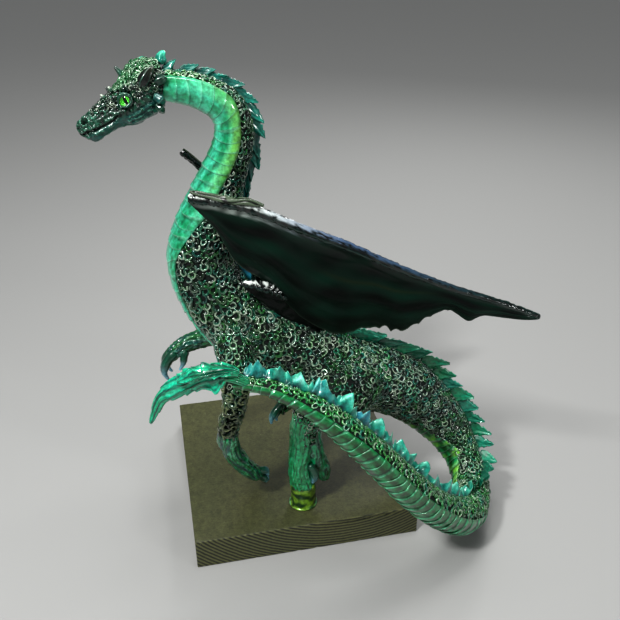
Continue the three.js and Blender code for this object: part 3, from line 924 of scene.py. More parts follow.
@dataclass
class BellyBand:
    """Overlapping plates along the underside, each lip free towards the tail."""

    start: float
    end: float
    pitch: Array  # rows of (s, plate length, half angle, lip height)
    seed: int
    greens: tuple[Paint, Paint, Paint]  # between the plates, on them, and streaked on top
    gap_dark: float = 0.8
    lip_pale: float = 0.5
    lime_edge: float = 0.0
    lime_patches: float = 0.0
    sides: int = 21
    room: float = 1.1
    bow: float = 0.35

    def build(self) -> Skin:
        """Lays the plates as one strip whose underside is sunk in the clay.

        The strip's rings follow the plates: p counts plates along the line, and a point at share
        x across the band lies at p + bow (1 - x squared). A plate's height grows from its root to
        its lip and drops at the next plate's root.

        Returns:
            The strip as a closed skin.
        """
        rng = np.random.default_rng(self.seed)
        s, run = TRUNK.length(self.start, self.end)
        step, half, lip = table(self.pitch, s)
        count = counted(run, step)
        within = np.array([0, 0.06, 0.16, 0.3, 0.46, 0.62, 0.76, 0.87, 0.94, 0.98])
        plates = int(count[-1])
        p = (np.arange(plates)[:, None] + within).ravel()
        plate = np.repeat(np.arange(plates), len(within))
        inside = np.tile(within, plates)[:, None]
        x = np.linspace(-1, 1, self.sides)[None, :]
        tilt = rng.normal(0, 0.16, plates)[plate][:, None] * x
        ragged = 0.10 * np.sin(5 * x + rng.uniform(0, 6, plates)[plate][:, None])
        s_at = np.interp(p[:, None] + self.bow * (1 - x**2) + tilt + ragged, count, s)
        high = np.interp(s_at, s, lip) * rng.uniform(0.7, 1.2, plates)[plate][:, None]
        profile = np.where(inside > 0.96, 0.55, 0.12 + 0.88 * inside**1.3)
        fade = 1 - np.abs(x) ** 8
        ripple = 0.16 * np.sin(11 * x + rng.uniform(0, 6, plates)[plate][:, None])
        here = TRUNK.at(s_at)
        angle = 180 + x * np.interp(s_at, s, half)
        fine = np.sin(angle * 0.55 + 2.2 * np.sin(p[:, None] * 0.37))
        fine = fine + 0.6 * np.sin(angle * 1.13 + 3 * np.sin(p[:, None] * 0.21))
        out = here.radius - self.room + (0.35 + 0.05 * fine + high * profile * (1 + ripple)) * fade
        outer = here.around(angle, out)
        inner = here.around(angle, here.radius - self.room - 2.5)
        rings = np.concatenate([outer, inner[:, ::-1]], 1)
        tone = rng.uniform(0, 1, plates)[plate][:, None]
        slow = np.sin(angle * 0.12 + 1.3 * np.sin(p[:, None] * 0.3) + 1)
        streak = np.clip(0.5 + 0.22 * fine + 0.25 * slow + 0.15 * hand_noise(outer, 6, self.seed), 0, 1)
        deep, main, light = (paint.rgb for paint in self.greens)
        colour = blend(deep, main, np.clip(0.3 + 0.45 * streak + 0.45 * inside, 0, 1))
        colour = blend(colour, light, np.clip(0.3 * tone + 1.4 * streak - 0.52, 0, 1))
        patches = self.lime_patches * np.clip(hand_noise(outer, 17, self.seed + 1) + 0.1, 0, 1)
        colour = blend(colour, Paint.LIME.rgb, patches * ease(-x, -0.3, 0.7))
        colour = blend(colour, deep, self.gap_dark * (1 - ease(inside + 0 * x, 0.0, 0.14)))
        lime = self.lime_edge * ease(-x + 0.12 * slow, 0.55, 0.9) * bump(s_at, 4.8, 2.4)
        colour = blend(colour, Paint.LIME.rgb, lime)
        # painted shade: the plates just under the jaw are darkened towards deep teal
        painted_shade_under_jaw = 0.55 * (1 - ease(s_at, 0.6, 3.0)) * ease(x - 0.3 * slow, -0.6, 0.9)
        colour = blend(colour, Paint.DEEP_TEAL.rgb, painted_shade_under_jaw)
        pale = self.lip_pale * ease(inside, 0.84, 0.94) * (0.4 + 0.6 * streak)
        colour = blend(colour, Paint.MINT.rgb, pale)
        rim = ease(inside, 0.8, 0.92) * (0.6 + 0.4 * streak) * np.clip(high / 0.8, 0.2, 1)
        rim = rim * (0.4 + 1.3 * self.lip_pale)
        hidden = rgba(Paint.WASH.rgb, np.zeros(inner.shape[:2]))
        return Skin.lofted(rings, np.concatenate([rgba(colour, rim * fade), hidden], 1))


def fin_places(rows: Array) -> Array:
    """Row numbers on the spine one pitch apart, from rows that begin with (s, pitch)."""
    s, run = TRUNK.length(rows[0, 0], rows[-1, 0])
    count = counted(run, table(rows, s)[0])
    return np.interp(np.arange(int(count[-1]) + 1), count, s)


def finned(s: Array, along: Array, rise: Array, aside: Array) -> Array:
    """Points of fins from their lengths along, above and beside the spine at row numbers s."""
    here = TRUNK.at(s)
    base = here.centre + here.up * here.radius[:, None]
    ways = (base, here.ahead, here.up, here.across)
    base, ahead, up, across = (way[:, None, None, :] for way in ways)
    return base + ahead * along[..., None] + up * rise[..., None] - across * aside[..., None]


@dataclass
class SweptFins:
    """Overlapping leaves along neck and back, swept towards the tail, with frayed ribbed edges."""

    rows: Array  # rows of (s, pitch, half the width, how far back the point lies, height)
    levels: int = 18
    across: int = 13
    thick: float = 1.7
    sunk: float = 4.0
    lean: float = 0.3  # how far the points bend to the near side, as a share of the height

    def build(self) -> Skin:
        """Shapes every leaf at once.

        A leaf's middle rises straight from its root to its point. At level v its half width goes
        with (1 - v) to the power 0.6 times 0.75 + 0.5 sin(pi v), with jagged edges and slanting
        ribs.

        Returns:
            All leaves as one skin.
        """
        rng = np.random.default_rng(SEED + 5)
        s = fin_places(self.rows)
        _, half, back, height = (column[:, None, None] for column in table(self.rows, s))
        n = len(s)

        def hand(low: float, high: float) -> Array:
            """One number for each leaf."""
            return rng.uniform(low, high, (n, 1, 1))

        v = np.linspace(0, 1, self.levels + 1)[:-1][None, :, None]
        u = np.linspace(-1, 1, self.across)[None, None, :]
        back, height = back * hand(0.8, 1.15), height * hand(0.65, 1.1)
        slope = np.arctan2(height, back)
        jag = (v * hand(3.5, 6.5) + hand(0, 1)) % 1.0
        teeth = 1 - hand(0.2, 0.42) * jag * ease(v, 0.2, 0.45)
        wide = half * hand(0.85, 1.15) * (1 - v) ** 0.6 * (0.75 + 0.5 * np.sin(math.pi * v)) * teeth
        along = back * v - np.sin(slope) * u * wide
        rise = -self.sunk + (height + self.sunk) * v + np.cos(slope) * u * wide + 0.12 * height * v**3
        rise = np.maximum(rise, -4.5)
        lens = self.thick / 2 * (1 - 0.8 * v) * np.sqrt(np.clip(1.03 - u**2, 0, 1))
        rib = 0.5 + 0.5 * np.cos(hand(7, 12) * np.abs(u) + 7 * v + hand(0, 6))
        bend = (self.lean + hand(-0.3, 0.3)) * height * v**2 + hand(-1.6, 1.6) * u * v
        middle = bend + 0.8 * np.sin(4 * u + hand(0, 6)) * v + 1.4 * (1 - u**2) * v
        front, rear = middle + lens * (0.6 + 0.8 * rib), middle - lens * (0.6 + 0.8 * rib)
        along, rise = (there_and_back(a) for a in (along, rise))
        points = finned(s, along, rise, np.concatenate([rear, front[..., ::-1]], -1))
        sea = np.clip(bump(s, 8.2, 1.1) + bump(s, 11.2, 1.2) + bump(s, 13.0, 0.7) * 0.6, 0, 1)
        tone = blend(Paint.DEEP_TEAL.rgb, Paint.TEAL.rgb, rng.uniform(0, 1, n))
        tone = blend(tone, Paint.EMERALD.rgb, rng.uniform(0.1, 0.6, n) * ease(s, 13, 15))
        tone = blend(tone, Paint.SEA_BLUE.rgb, sea)[:, None, None, :]
        both = there_and_back(u)
        rib, level = there_and_back(rib), v + 0 * both
        colour = blend(tone, Paint.WASH.rgb, np.clip(0.6 - 1.5 * level, 0, 0.6) + 0.4 * (1 - rib) * level)
        colour = blend(colour, Paint.TURQUOISE.rgb, 0.45 * rib * ease(level, 0.25, 0.9))
        rim = np.clip(ease(np.abs(both) + 0 * level, 0.8, 1.0) * 0.9 + ease(level, 0.88, 1.0) * 0.4, 0, 1)
        paint = rgba(colour, np.clip(rim * (0.6 + 0.4 * rib) + 0.55 * rib**4 * ease(level, 0.2, 0.5), 0, 1))
        return Skin.joined([Skin.lofted(points[k], paint[k]) for k in range(n)])


@dataclass
class LobedFins:
    """Glossy frills along the tail, each with one high point and two low ones."""

    rows: Array  # rows of (s, pitch, height)
    steps: int = 31
    levels: int = 9
    thick: float = 2.0
    sunk: float = 3.0

    def build(self) -> Skin:
        """Shapes every frill at once: its height over the root is the highest of four spikes.

        Returns:
            All frills as one skin.
        """
        rng = np.random.default_rng(SEED + 6)
        s = fin_places(self.rows)
        pitch, height = (column[:, None, None] for column in table(self.rows, s))
        n = len(s)

        def hand(low: float, high: float) -> Array:
            """One number for each frill."""
            return rng.uniform(low, high, (n, 1, 1))

        u = np.linspace(-1, 1, self.steps)[None, :, None]
        v = np.linspace(0, 1, self.levels)[None, None, :]
        outline = 0.24 + 0 * hand(0, 1) * u
        for place, share, wide in (
            (hand(-0.3, 0.4), hand(0.8, 1.0), 0.62), (hand(-0.85, -0.55), hand(0.3, 0.75), 0.4),
            (hand(0.5, 0.85), hand(0.3, 0.8), 0.4), (hand(-0.2, 0.2), hand(0.4, 0.7), 0.9),
        ):
            spike = np.clip(1 - np.abs(u - place) / wide, 0, 1)
            outline = np.maximum(outline, share * spike**0.65)
        along = 0.66 * pitch * u * (1 - 0.15 * v) + hand(-0.1, 0.5) * height * outline * v**2
        rise = -self.sunk + (height * hand(0.7, 1.0) * outline + self.sunk) * v
        wave = 0.2 * pitch * np.sin(hand(2.0, 4.5) * u + hand(0, 6)) * v
        wave = wave + hand(-0.1, 0.55) * height * v**2 * outline
        lens = self.thick / 2 * (1 - 0.85 * v**1.5)
        rib = 0.5 + 0.5 * np.cos(hand(6, 11) * u + 3 * v + hand(0, 6)) + 0 * v
        sides = [wave + lens * (0.6 + 0.7 * rib), (wave - lens * (0.6 + 0.7 * rib))[..., ::-1]]
        along, rise = (there_and_back(a) for a in (along + 0 * rise, rise))
        points = finned(s, along, rise, np.concatenate(sides, -1))
        level = there_and_back(v) + 0 * along
        rib = there_and_back(rib)
        tone = blend(Paint.TURQUOISE.rgb, Paint.SEA_BLUE.rgb, rng.uniform(0, 1, n) ** 5)[:, None, None, :]
        colour = blend(tone, Paint.DEEP_TEAL.rgb, np.clip(1.0 - 1.5 * level, 0, 0.9) + 0.4 * (1 - rib))
        colour = blend(colour, Paint.MINT.rgb, 0.35 * rib**2 * ease(level, 0.35, 1.0))
        paint = rgba(colour, ease(level, 0.85, 1.0) * 0.85)
        return Skin.joined([Skin.lofted(points[k], paint[k]) for k in range(n)])


@dataclass
class TailLeaf:
    """One lobe of the folded leaf at the tail's end, ribbed along its length."""

    rows: Array  # rows of x, y, z, height above and below the vein
    seed: int
    thick: float = 3.2
    teeth: float = 0.2
    fold: float = 2.4
    rings: int = 110
    across: int = 34

    def build(self) -> Skin:
        """Lofts the leaf: at each place two ribbed faces from its upper to its lower edge."""
        last = len(self.rows) - 1
        s = np.linspace(0, last, self.rings)
        here = curve(self.rows, s)
        ahead = unit(curve(self.rows, s + 0.3)[:, :3] - curve(self.rows, s - 0.3)[:, :3])
        up = squared(np.broadcast_to([-0.45, 0.3, 1.0], ahead.shape), ahead)
        across = np.cross(up, ahead)
        x = np.linspace(1, -1, self.across)[None, :]
        share = (s / last)[:, None]
        rng = np.random.default_rng(self.seed)
        drift = wander(share * 6 + 0 * x, rng)
        tooth = (share * 8 + 0.8 * drift) % 1.0
        frayed = 1 + self.teeth * (tooth - 0.5) * ease(share, 0.06, 0.2)
        rise = np.where(x > 0, x * here[:, 3:4], x * here[:, 4:5]) * frayed
        line = 15 * x + 3.4 * drift + 2.2 * np.sin(4 * share + 2 * x) - 5 * share * x
        strong = 0.35 + 0.65 * (0.5 + 0.5 * np.sin(2.1 * x + 9 * share + 2 * drift))
        rib = (0.42 * np.cos(line) + 0.22 * np.cos(2.3 * line + 3 * drift)) * strong
        arch = np.sin(math.pi * np.clip(share * 1.15, 0, 1))
        lines = bump(x, 0.15 + 0.16 * drift, 0.08), bump(x, -0.42 + 0.14 * np.sin(5 * share), 0.07)
        crease = np.maximum(*lines) * arch
        bend = self.fold * np.sin(2.8 * x + 8 * share + drift) * np.sin(math.pi * np.clip(share * 1.1, 0, 1))
        ruffle = 1.5 * np.sin(30 * share + 3 * drift) * np.abs(x) ** 2.5 * np.sin(math.pi * share)
        half = np.minimum(self.thick / 2, here[:, 3:4]) * np.sqrt(np.clip(1.02 - x**2, 0, 1))
        relief = rib * (1 - x**4) - 1.5 * crease * (half > 0.9)

        def at(aside: Array) -> Array:
            """Points at a sideways height of the leaf."""
            lifted = here[:, None, :3] + up[:, None, :] * rise[..., None]
            return lifted - across[:, None, :] * aside[..., None]

        front, back = (at(bend + ruffle + side * half + relief) for side in (1, -1))
        # painted highlight and shade: pale turquoise where the ribs stand out and deep teal between them, as
        # light falls on the ribs
        light = np.clip(0.5 + 0.8 * rib / 0.5, 0, 1)
        colour = blend(Paint.DEEP_TEAL.rgb, Paint.EMERALD.rgb, np.clip(light * 1.5, 0, 1))
        colour = blend(colour, linear("#12cfa4"), np.clip(0.9 * light + 0.5 * drift, 0, 0.95))
        # painted shade in the sunken creases
        colour = blend(colour, Paint.WASH.rgb, 0.9 * crease)
        rim = np.clip(ease(light, 0.85, 1.0) * 0.7 + ease(np.abs(x) + 0 * share, 0.93, 1.0) * 0.6, 0, 1)
        return Skin.sheet(front, back, rgba(colour, rim))


# Legs and claws


@dataclass
class GroovedLimb:
    """A limb of clay combed lengthwise with a tool, painted in streaks."""

    rows: Array
    streaks: tuple[Paint, Paint, Paint]
    seed: int
    grooves: int = 15
    depth: float = 0.07  # of the radius
    rings: int = 80
    sides: int = 84

    def build(self) -> Skin:
        """Lofts the limb; grooves of two widths wander along it, each deep in places only."""
        rng = np.random.default_rng(self.seed)
        s, angle, here = Tube(self.rows, LIMB_TOP).rounded(self.rings, self.sides)
        turn = np.radians(angle)
        drift = wander(s * 1.3, rng)
        line = self.grooves * turn + 2.4 * drift + 1.8 * np.sin(2 * turn + s)
        places = here.centre + here.outward(angle) * 9
        lumps = hand_noise(places, 14, self.seed)
        strong = np.clip(0.55 + 0.6 * hand_noise(places, 10, self.seed + 1), 0.1, 1)
        groove = bump(np.sin(line / 2), 0, 0.34) * strong
        thin = bump(np.sin(1.35 * line + 2 * np.sin(turn * 3 + s) + 1), 0, 0.4) * (1.1 - strong)
        comb = 0.35 - 1.4 * groove - 0.7 * thin + 0.5 * creases(places, 7, self.seed + 2)
        points = here.around(angle, here.radius * (0.97 + self.depth * comb + 0.045 * lumps))
        tone = np.clip(0.5 + 0.45 * np.sin(0.6 * line + 2.5 * drift) + 0.35 * lumps, 0, 1)
        a, b, c = (paint.rgb for paint in self.streaks)
        colour = blend(blend(a, b, tone), c, np.clip(groove * 1.1 + 0.6 * thin, 0, 1))
        rim = np.clip(comb + 0.1 + 0.5 * lumps, 0, 1) * 0.85
        return Skin.lofted(points, rgba(colour, rim))


@dataclass
class Claws:
    """Hooked claws, each a tapering horn with a pale point."""

    rows: tuple[Array, ...]
    rings: int = 18
    sides: int = 16

    def build(self) -> Skin:
        """Lofts every claw through its rows of x, y, z and radius."""
        parts = []
        for claw in self.rows:
            tube = Tube(claw, LIMB_TOP)
            s, angle, here = tube.rounded(self.rings, self.sides)
            turn = np.radians(angle)
            uneven = 1 + 0.1 * np.cos(4 * s) + 0.08 * np.cos(6 * turn + s)
            points = here.around(angle, here.radius * uneven)
            share = s / tube.last
            colour = blend(Paint.BOTTLE.rgb, linear("#7fb9d0"), ease(share, 0.4, 0.9) * 0.85)
            parts.append(Skin.lofted(points, rgba(colour, 0.35 + 0.35 * np.cos(6 * turn + s))))
        return Skin.joined(parts)


@dataclass
class Stub:
    """The round stub of yellow-green clay that the standing leg is set on, and its glue line."""

    centre: tuple[float, float] = (0.0, -71.0)
    radius: float = 12.2

    def build(self) -> Skin:
        """Turns the stub from its height profile, pinched by thumbs, with the bead round its foot."""
        profile = np.array([[0.9, 0], [1.02, 0.3], [1.03, 1.2], [0.95, 2.2], [0.92, 5], [0.9, 10], [0.9, 15],
                            [0.93, 20], [0.9, 23], [0.8, 24.6], [0.5, 25]])
        rows = curve(profile, np.linspace(0, len(profile) - 1, 60))
        turn = np.linspace(0, 2 * math.pi, 72, endpoint=False)
        up = rows[:, 1:2]
        dent = 0.03 * np.sin(3 * turn + 1 + 0.1 * up) + 0.02 * np.sin(7 * turn + 0.3 * up)
        reach = (rows[:, :1] + dent * ease(up, 1, 4)) * self.radius
        x, y = self.centre[0] + reach * np.cos(turn), self.centre[1] + reach * np.sin(turn)
        points = np.stack([x, y, np.broadcast_to(up, x.shape)], -1)
        tone = np.clip(0.5 + 0.7 * hand_noise(points, 9, 4), 0, 1)
        colour = blend(linear("#0c3a10"), linear("#77a32c"), tone**1.5)
        bead = bump(up + 0.6 * np.sin(4 * turn), 1.2, 0.9) * (0.5 + 0.5 * np.sin(2 * turn + 2.4))
        return Skin.lofted(points, rgba(colour, np.clip(bead + 0.5 * ease(tone, 0.8, 1), 0, 1) * 0.9))


@dataclass
class Block:
    """The wooden block: softened edges, worn corners and a split along the front's upper edge."""

    width: float
    depth: float
    height: float
    ease: float = 1.0
    stations: int = 130
    crack: tuple[float, float] = (20.0, 88.0)  # from and to, along X
    crack_depth: float = 0.9

    def build(self) -> Skin:
        """Lofts the rounded cross-section along X, nicked at its edges by small noise."""
        corner = np.linspace(0, math.pi / 2, 6)
        y, z = self.depth / 2 - self.ease, self.height / 2 - self.ease
        parts = []
        for number, (cy, cz) in enumerate(((y, z), (-y, z), (-y, -z), (y, -z))):
            turn = corner + number * math.pi / 2
            arc = np.stack([cy + self.ease * np.cos(turn), cz + self.ease * np.sin(turn)], -1)
            ny, nz = ((-y, z), (-y, -z), (y, -z), (y, z))[number]
            finish = (number + 1) * math.pi / 2
            start = np.array([ny + self.ease * math.cos(finish), nz + self.ease * math.sin(finish)])
            share = np.linspace(0, 1, 26)[1:-1, None]
            parts += [arc, arc[-1] + (start - arc[-1]) * share]
        ring = np.concatenate(parts)
        t = 0.5 - 0.5 * np.cos(np.linspace(0, math.pi, self.stations))
        x = (self.width * (t - 0.5))[:, None]
        left = np.clip((self.width / 2 - np.abs(x)) / self.ease, 0, 1)
        inset = self.ease * (1 - np.sqrt(1 - (1 - left) ** 2))
        scale = np.stack([1 - inset / (self.depth / 2), 1 - inset / (self.height / 2)], -1)
        flat = ring[None] * scale
        points = np.concatenate([np.broadcast_to(x[..., None], flat.shape[:2] + (1,)), flat], -1)
        nick = np.clip(hand_noise(points, 7, 5) - 0.9, 0, 1) * 0.7 + 0.06 * hand_noise(points, 2.2, 6)
        edge = bump(np.hypot(np.abs(points[..., 1]) - y, np.abs(points[..., 2]) - z), 0, 2.5)
        line = z - 3.0 + 2.2 * ease(x, *self.crack) + 0.4 * np.sin(0.5 * x)
        open_ = ease(x, self.crack[0], self.crack[0] + 15) * (1 - ease(x, self.crack[1] - 10, self.crack[1]))
        split = bump(points[..., 2], line, 0.55) * (points[..., 1] < -y) * open_ * self.crack_depth
        points[..., 1] *= 1 - (np.clip(nick, 0, 1) * edge + split) / (self.depth / 2)
        points[..., 2] = points[..., 2] * (1 - np.clip(nick, 0, 1) * edge / (self.height / 2))
        on_top = ease(points[..., 2], z - 0.5, z + self.ease)
        on_top = on_top * ease(y + self.ease - np.abs(points[..., 1]), 0.2, 1)
        points[..., 2] += self.height / 2 - DECK
        return Skin.lofted(points, rgba(np.ones(3), 1 - on_top))


# Head


@dataclass
class Head:
    """The head on its own axes: forward along the muzzle, side towards a cheek, up the crown."""

    sections: Array  # rows of forward, half width, above, below
    skull: Array
    muzzle: Array
    rings: int = 160
    sides: int = 130

    @property
    def axes(self) -> Array:
        """Rows: forward, cheek, crown."""
        forward = unit(self.muzzle)
        crown = squared(np.array([0, 0.3, 1.0]), forward)
        return np.stack([forward, np.cross(crown, forward), crown])

    def world(self, local: Array) -> Array:
        """Places given as forward, side, up."""
        return self.skull + local @ self.axes

    @staticmethod
    def near_line(forward: Array, up: Array, line: list[tuple[float, float]]) -> Array:
        """Distance of side-view places to a polyline of (forward, up)."""
        best = np.full(forward.shape, 1e9)
        for (x0, y0), (x1, y1) in zip(line[:-1], line[1:]):
            dx, dy = x1 - x0, y1 - y0
            t = np.clip(((forward - x0) * dx + (up - y0) * dy) / (dx * dx + dy * dy), 0, 1)
            best = np.minimum(best, np.hypot(forward - x0 - t * dx, up - y0 - t * dy))
        return best

    def relief(self, local: Array, facing: Array) -> tuple[Array, Array, Array]:
        """How far the face stands out, how dark its grooves are and how pale its ridges.

        Args:
            local: (..., 3) forward, side, up.
            facing: how far each place faces sideways, 0 to 1.

        Returns:
            Heights in millimetres, groove strengths and ridge strengths from 0 to 1.
        """
        f, _, n = np.moveaxis(local, -1, 0)

        def line(points: list[tuple[float, float]], width: float) -> Array:
            """A bell across a polyline."""
            return bump(self.near_line(f, n, points), 0, width)

        side = ease(facing, 0.15, 0.6)
        socket = bump(np.hypot(f - 20, n - 0.6), 0, 5.6)
        brow = line([(30, 4.2), (25, 6.6), (18, 7.4), (11, 5.6), (4, 4)], 1.9)
        fold = line([(31, 7.4), (24, 9.6), (15, 9.8)], 1.1)
        cheek = line([(31, -2.8), (24, -5.0), (16, -5.2), (8, -3.6)], 1.3)
        cheek = cheek + line([(28, -5.6), (20, -7.6), (10, -7)], 1.0)
        mouth = line([(58, -5.2), (53, -5.0), (48, -6.2), (41, -6.9), (33, -6.6), (27, -5.8)], 0.65)
        upper = line([(56, -3.2), (49, -4.2), (41, -5.0), (33, -4.7)], 1.0)
        lower = line([(55, -8.2), (50, -8.8), (42, -9.0), (34, -8.6)], 1.1)
        chin = line([(53, -12), (47, -12.5)], 2.0)
        hole = bump(np.hypot(f - 51.4, n - 2.4), 0, 1.4)
        ring = bump(np.hypot(f - 51.2, n - 2.4), 2.7, 0.8)
        jaw = sum(line(points, 0.6) for points in (
            [(24, -9.6), (16, -10.4), (6, -9.6)], [(25, -11.7), (16, -12.8), (7, -12.1)],
            [(24, -13.8), (15, -15.0), (8, -14.6)],
        ))
        snout = line([(46, 1.5), (40, 3.0), (34, 1.5)], 1.5)
        snout = snout + line([(44, -1.2), (36, -1.6), (30, -0.6)], 0.9)
        height = side * (
            1.6 * brow + 0.8 * fold - 2.4 * socket + 0.9 * cheek - 1.7 * mouth + 0.8 * upper + 0.8 * lower
            + 0.6 * chin - 2.8 * hole + 1.1 * ring + 1.6 * jaw + 0.7 * snout
        )
        dark = side * np.clip(1.1 * mouth + hole * 1.2 + 0.5 * socket, 0, 1)
        pale = 0.8 * jaw + 0.7 * ring + 0.6 * upper + 0.5 * lower + 0.5 * brow + 0.5 * snout
        return height, dark, side * np.clip(pale, 0, 1)

    def build(self) -> Skin:
        """Lofts the head through its sections and raises the face's relief on it."""
        last = len(self.sections) - 1
        s = np.linspace(0, last, self.rings)[:, None]
        turn = np.linspace(0, 2 * math.pi, self.sides, endpoint=False)[None, :]
        forward, wide, above, below = np.moveaxis(curve(self.sections, s + 0 * turn), -1, 0)
        high = np.where(np.sin(turn) > 0, above, below)
        local = np.stack([forward, np.cos(turn) * wide, np.sin(turn) * high], -1)
        out = unit(np.stack([0 * wide, np.cos(turn) / wide, np.sin(turn) / high], -1))
        height, dark, pale = self.relief(local, np.abs(out[..., 1]))
        smooth_jaw = ease(-local[..., 2], 7, 10)
        wrinkled = 0.32 * creases(local, 5.5, 12) + 0.24 * creases(local, 2.8, 13)
        lumps = wrinkled * (1 - 0.75 * smooth_jaw) + 0.25 * hand_noise(local, 6, 14)
        points = self.world(local + out * (height + lumps - 0.9)[..., None])
        f, n = local[..., 0], local[..., 2]
        colour = blend(Paint.WASH.rgb, Paint.BOTTLE.rgb, np.clip(0.7 + 0.9 * lumps, 0, 1))
        colour = blend(colour, Paint.DEEP_TEAL.rgb, ease(-n, 6, 10) * 0.9)
        colour = blend(colour, Paint.MOSS.rgb, ease(n, 8, 14) * (1 - ease(f, 22, 34)) * 0.6)
        colour = blend(colour, Paint.WASH.rgb, np.clip(dark + 0.5 * bump(f, -8, 4), 0, 0.95))
        rim = np.clip(0.35 + 0.9 * wrinkled + 0.6 * pale, 0, 1) * 0.85
        return Skin.lofted(points, rgba(colour, rim))

    def scale_places(self) -> tuple[Array, Array, Array, Array]:
        """Rows of scales over crown, brow and the muzzle's root, clear of eyes, mouth and jaw.

        Returns:
            Places, ways ahead, widths and how green each scale is.
        """
        rng = np.random.default_rng(SEED + 20)
        forward_at = np.arange(-10, 44, 1.9)
        s_row = np.interp(forward_at, self.sections[:, 0], np.arange(len(self.sections)))
        places = []
        for number, s in enumerate(s_row):
            _, wide, above, _ = curve(self.sections, np.array(s))
            each = max(3, int(round(math.pi * (wide + above) / 2 / 2.4)))
            turn = ((np.arange(each) + 0.5 * (number % 2)) / each * 1.12 - 0.06) * math.pi
            turn = turn + rng.uniform(-0.07, 0.07, each)
            f = forward_at[number] + rng.uniform(-0.7, 0.7, each)
            places.append(np.stack([f, np.cos(turn) * wide, np.sin(turn) * above], -1))
        local = np.concatenate(places)
        f, _, n = local.T
        eye = np.hypot(f - 20, n - 0.6) > 6.2
        low = n > np.interp(f, [-12, 6, 14, 26, 34, 44], [-6, -1.0, -4, 0.5, 2.0, 4.0])
        local = local[eye & low]
        f, _, n = local.T
        green = np.clip(ease(n, 6, 13) * ease(30 - f, 0, 10), 0, 1)
        wide = (3.3 + 0.8 * green + rng.uniform(-0.4, 0.4, len(local))) * (1 - 0.35 * ease(f, 24, 44))
        return self.world(local), np.broadcast_to(-self.axes[0], local.shape), wide, green

    def horn(self, rows: list[tuple[float, ...]], colours: tuple[Paint, Paint], ribs: int = 5) -> Skin:
        """A spike, ear, bead or knob with rounded ends.

        Args:
            rows: forward, side, up and radius from root to point.
            colours: at the root and at the point.
            ribs: how many ribs run along it.

        Returns:
            Its closed skin.
        """
        given = np.array(rows, float)
        tube = Tube(np.concatenate([self.world(given[:, :3]), given[:, 3:]], 1), self.axes[1])
        s, angle, here = tube.rounded(20, 20)
        turn = np.radians(angle)
        rib = np.cos(ribs * turn + 1.5 * s)
        points = here.around(angle, here.radius * (1 + 0.14 * rib))
        colour = blend(colours[0].rgb, colours[1].rgb, ease(s / tube.last, 0.3, 1.0))
        return Skin.lofted(points, rgba(colour, np.clip(0.3 + 0.45 * rib, 0, 1)))


# Wings


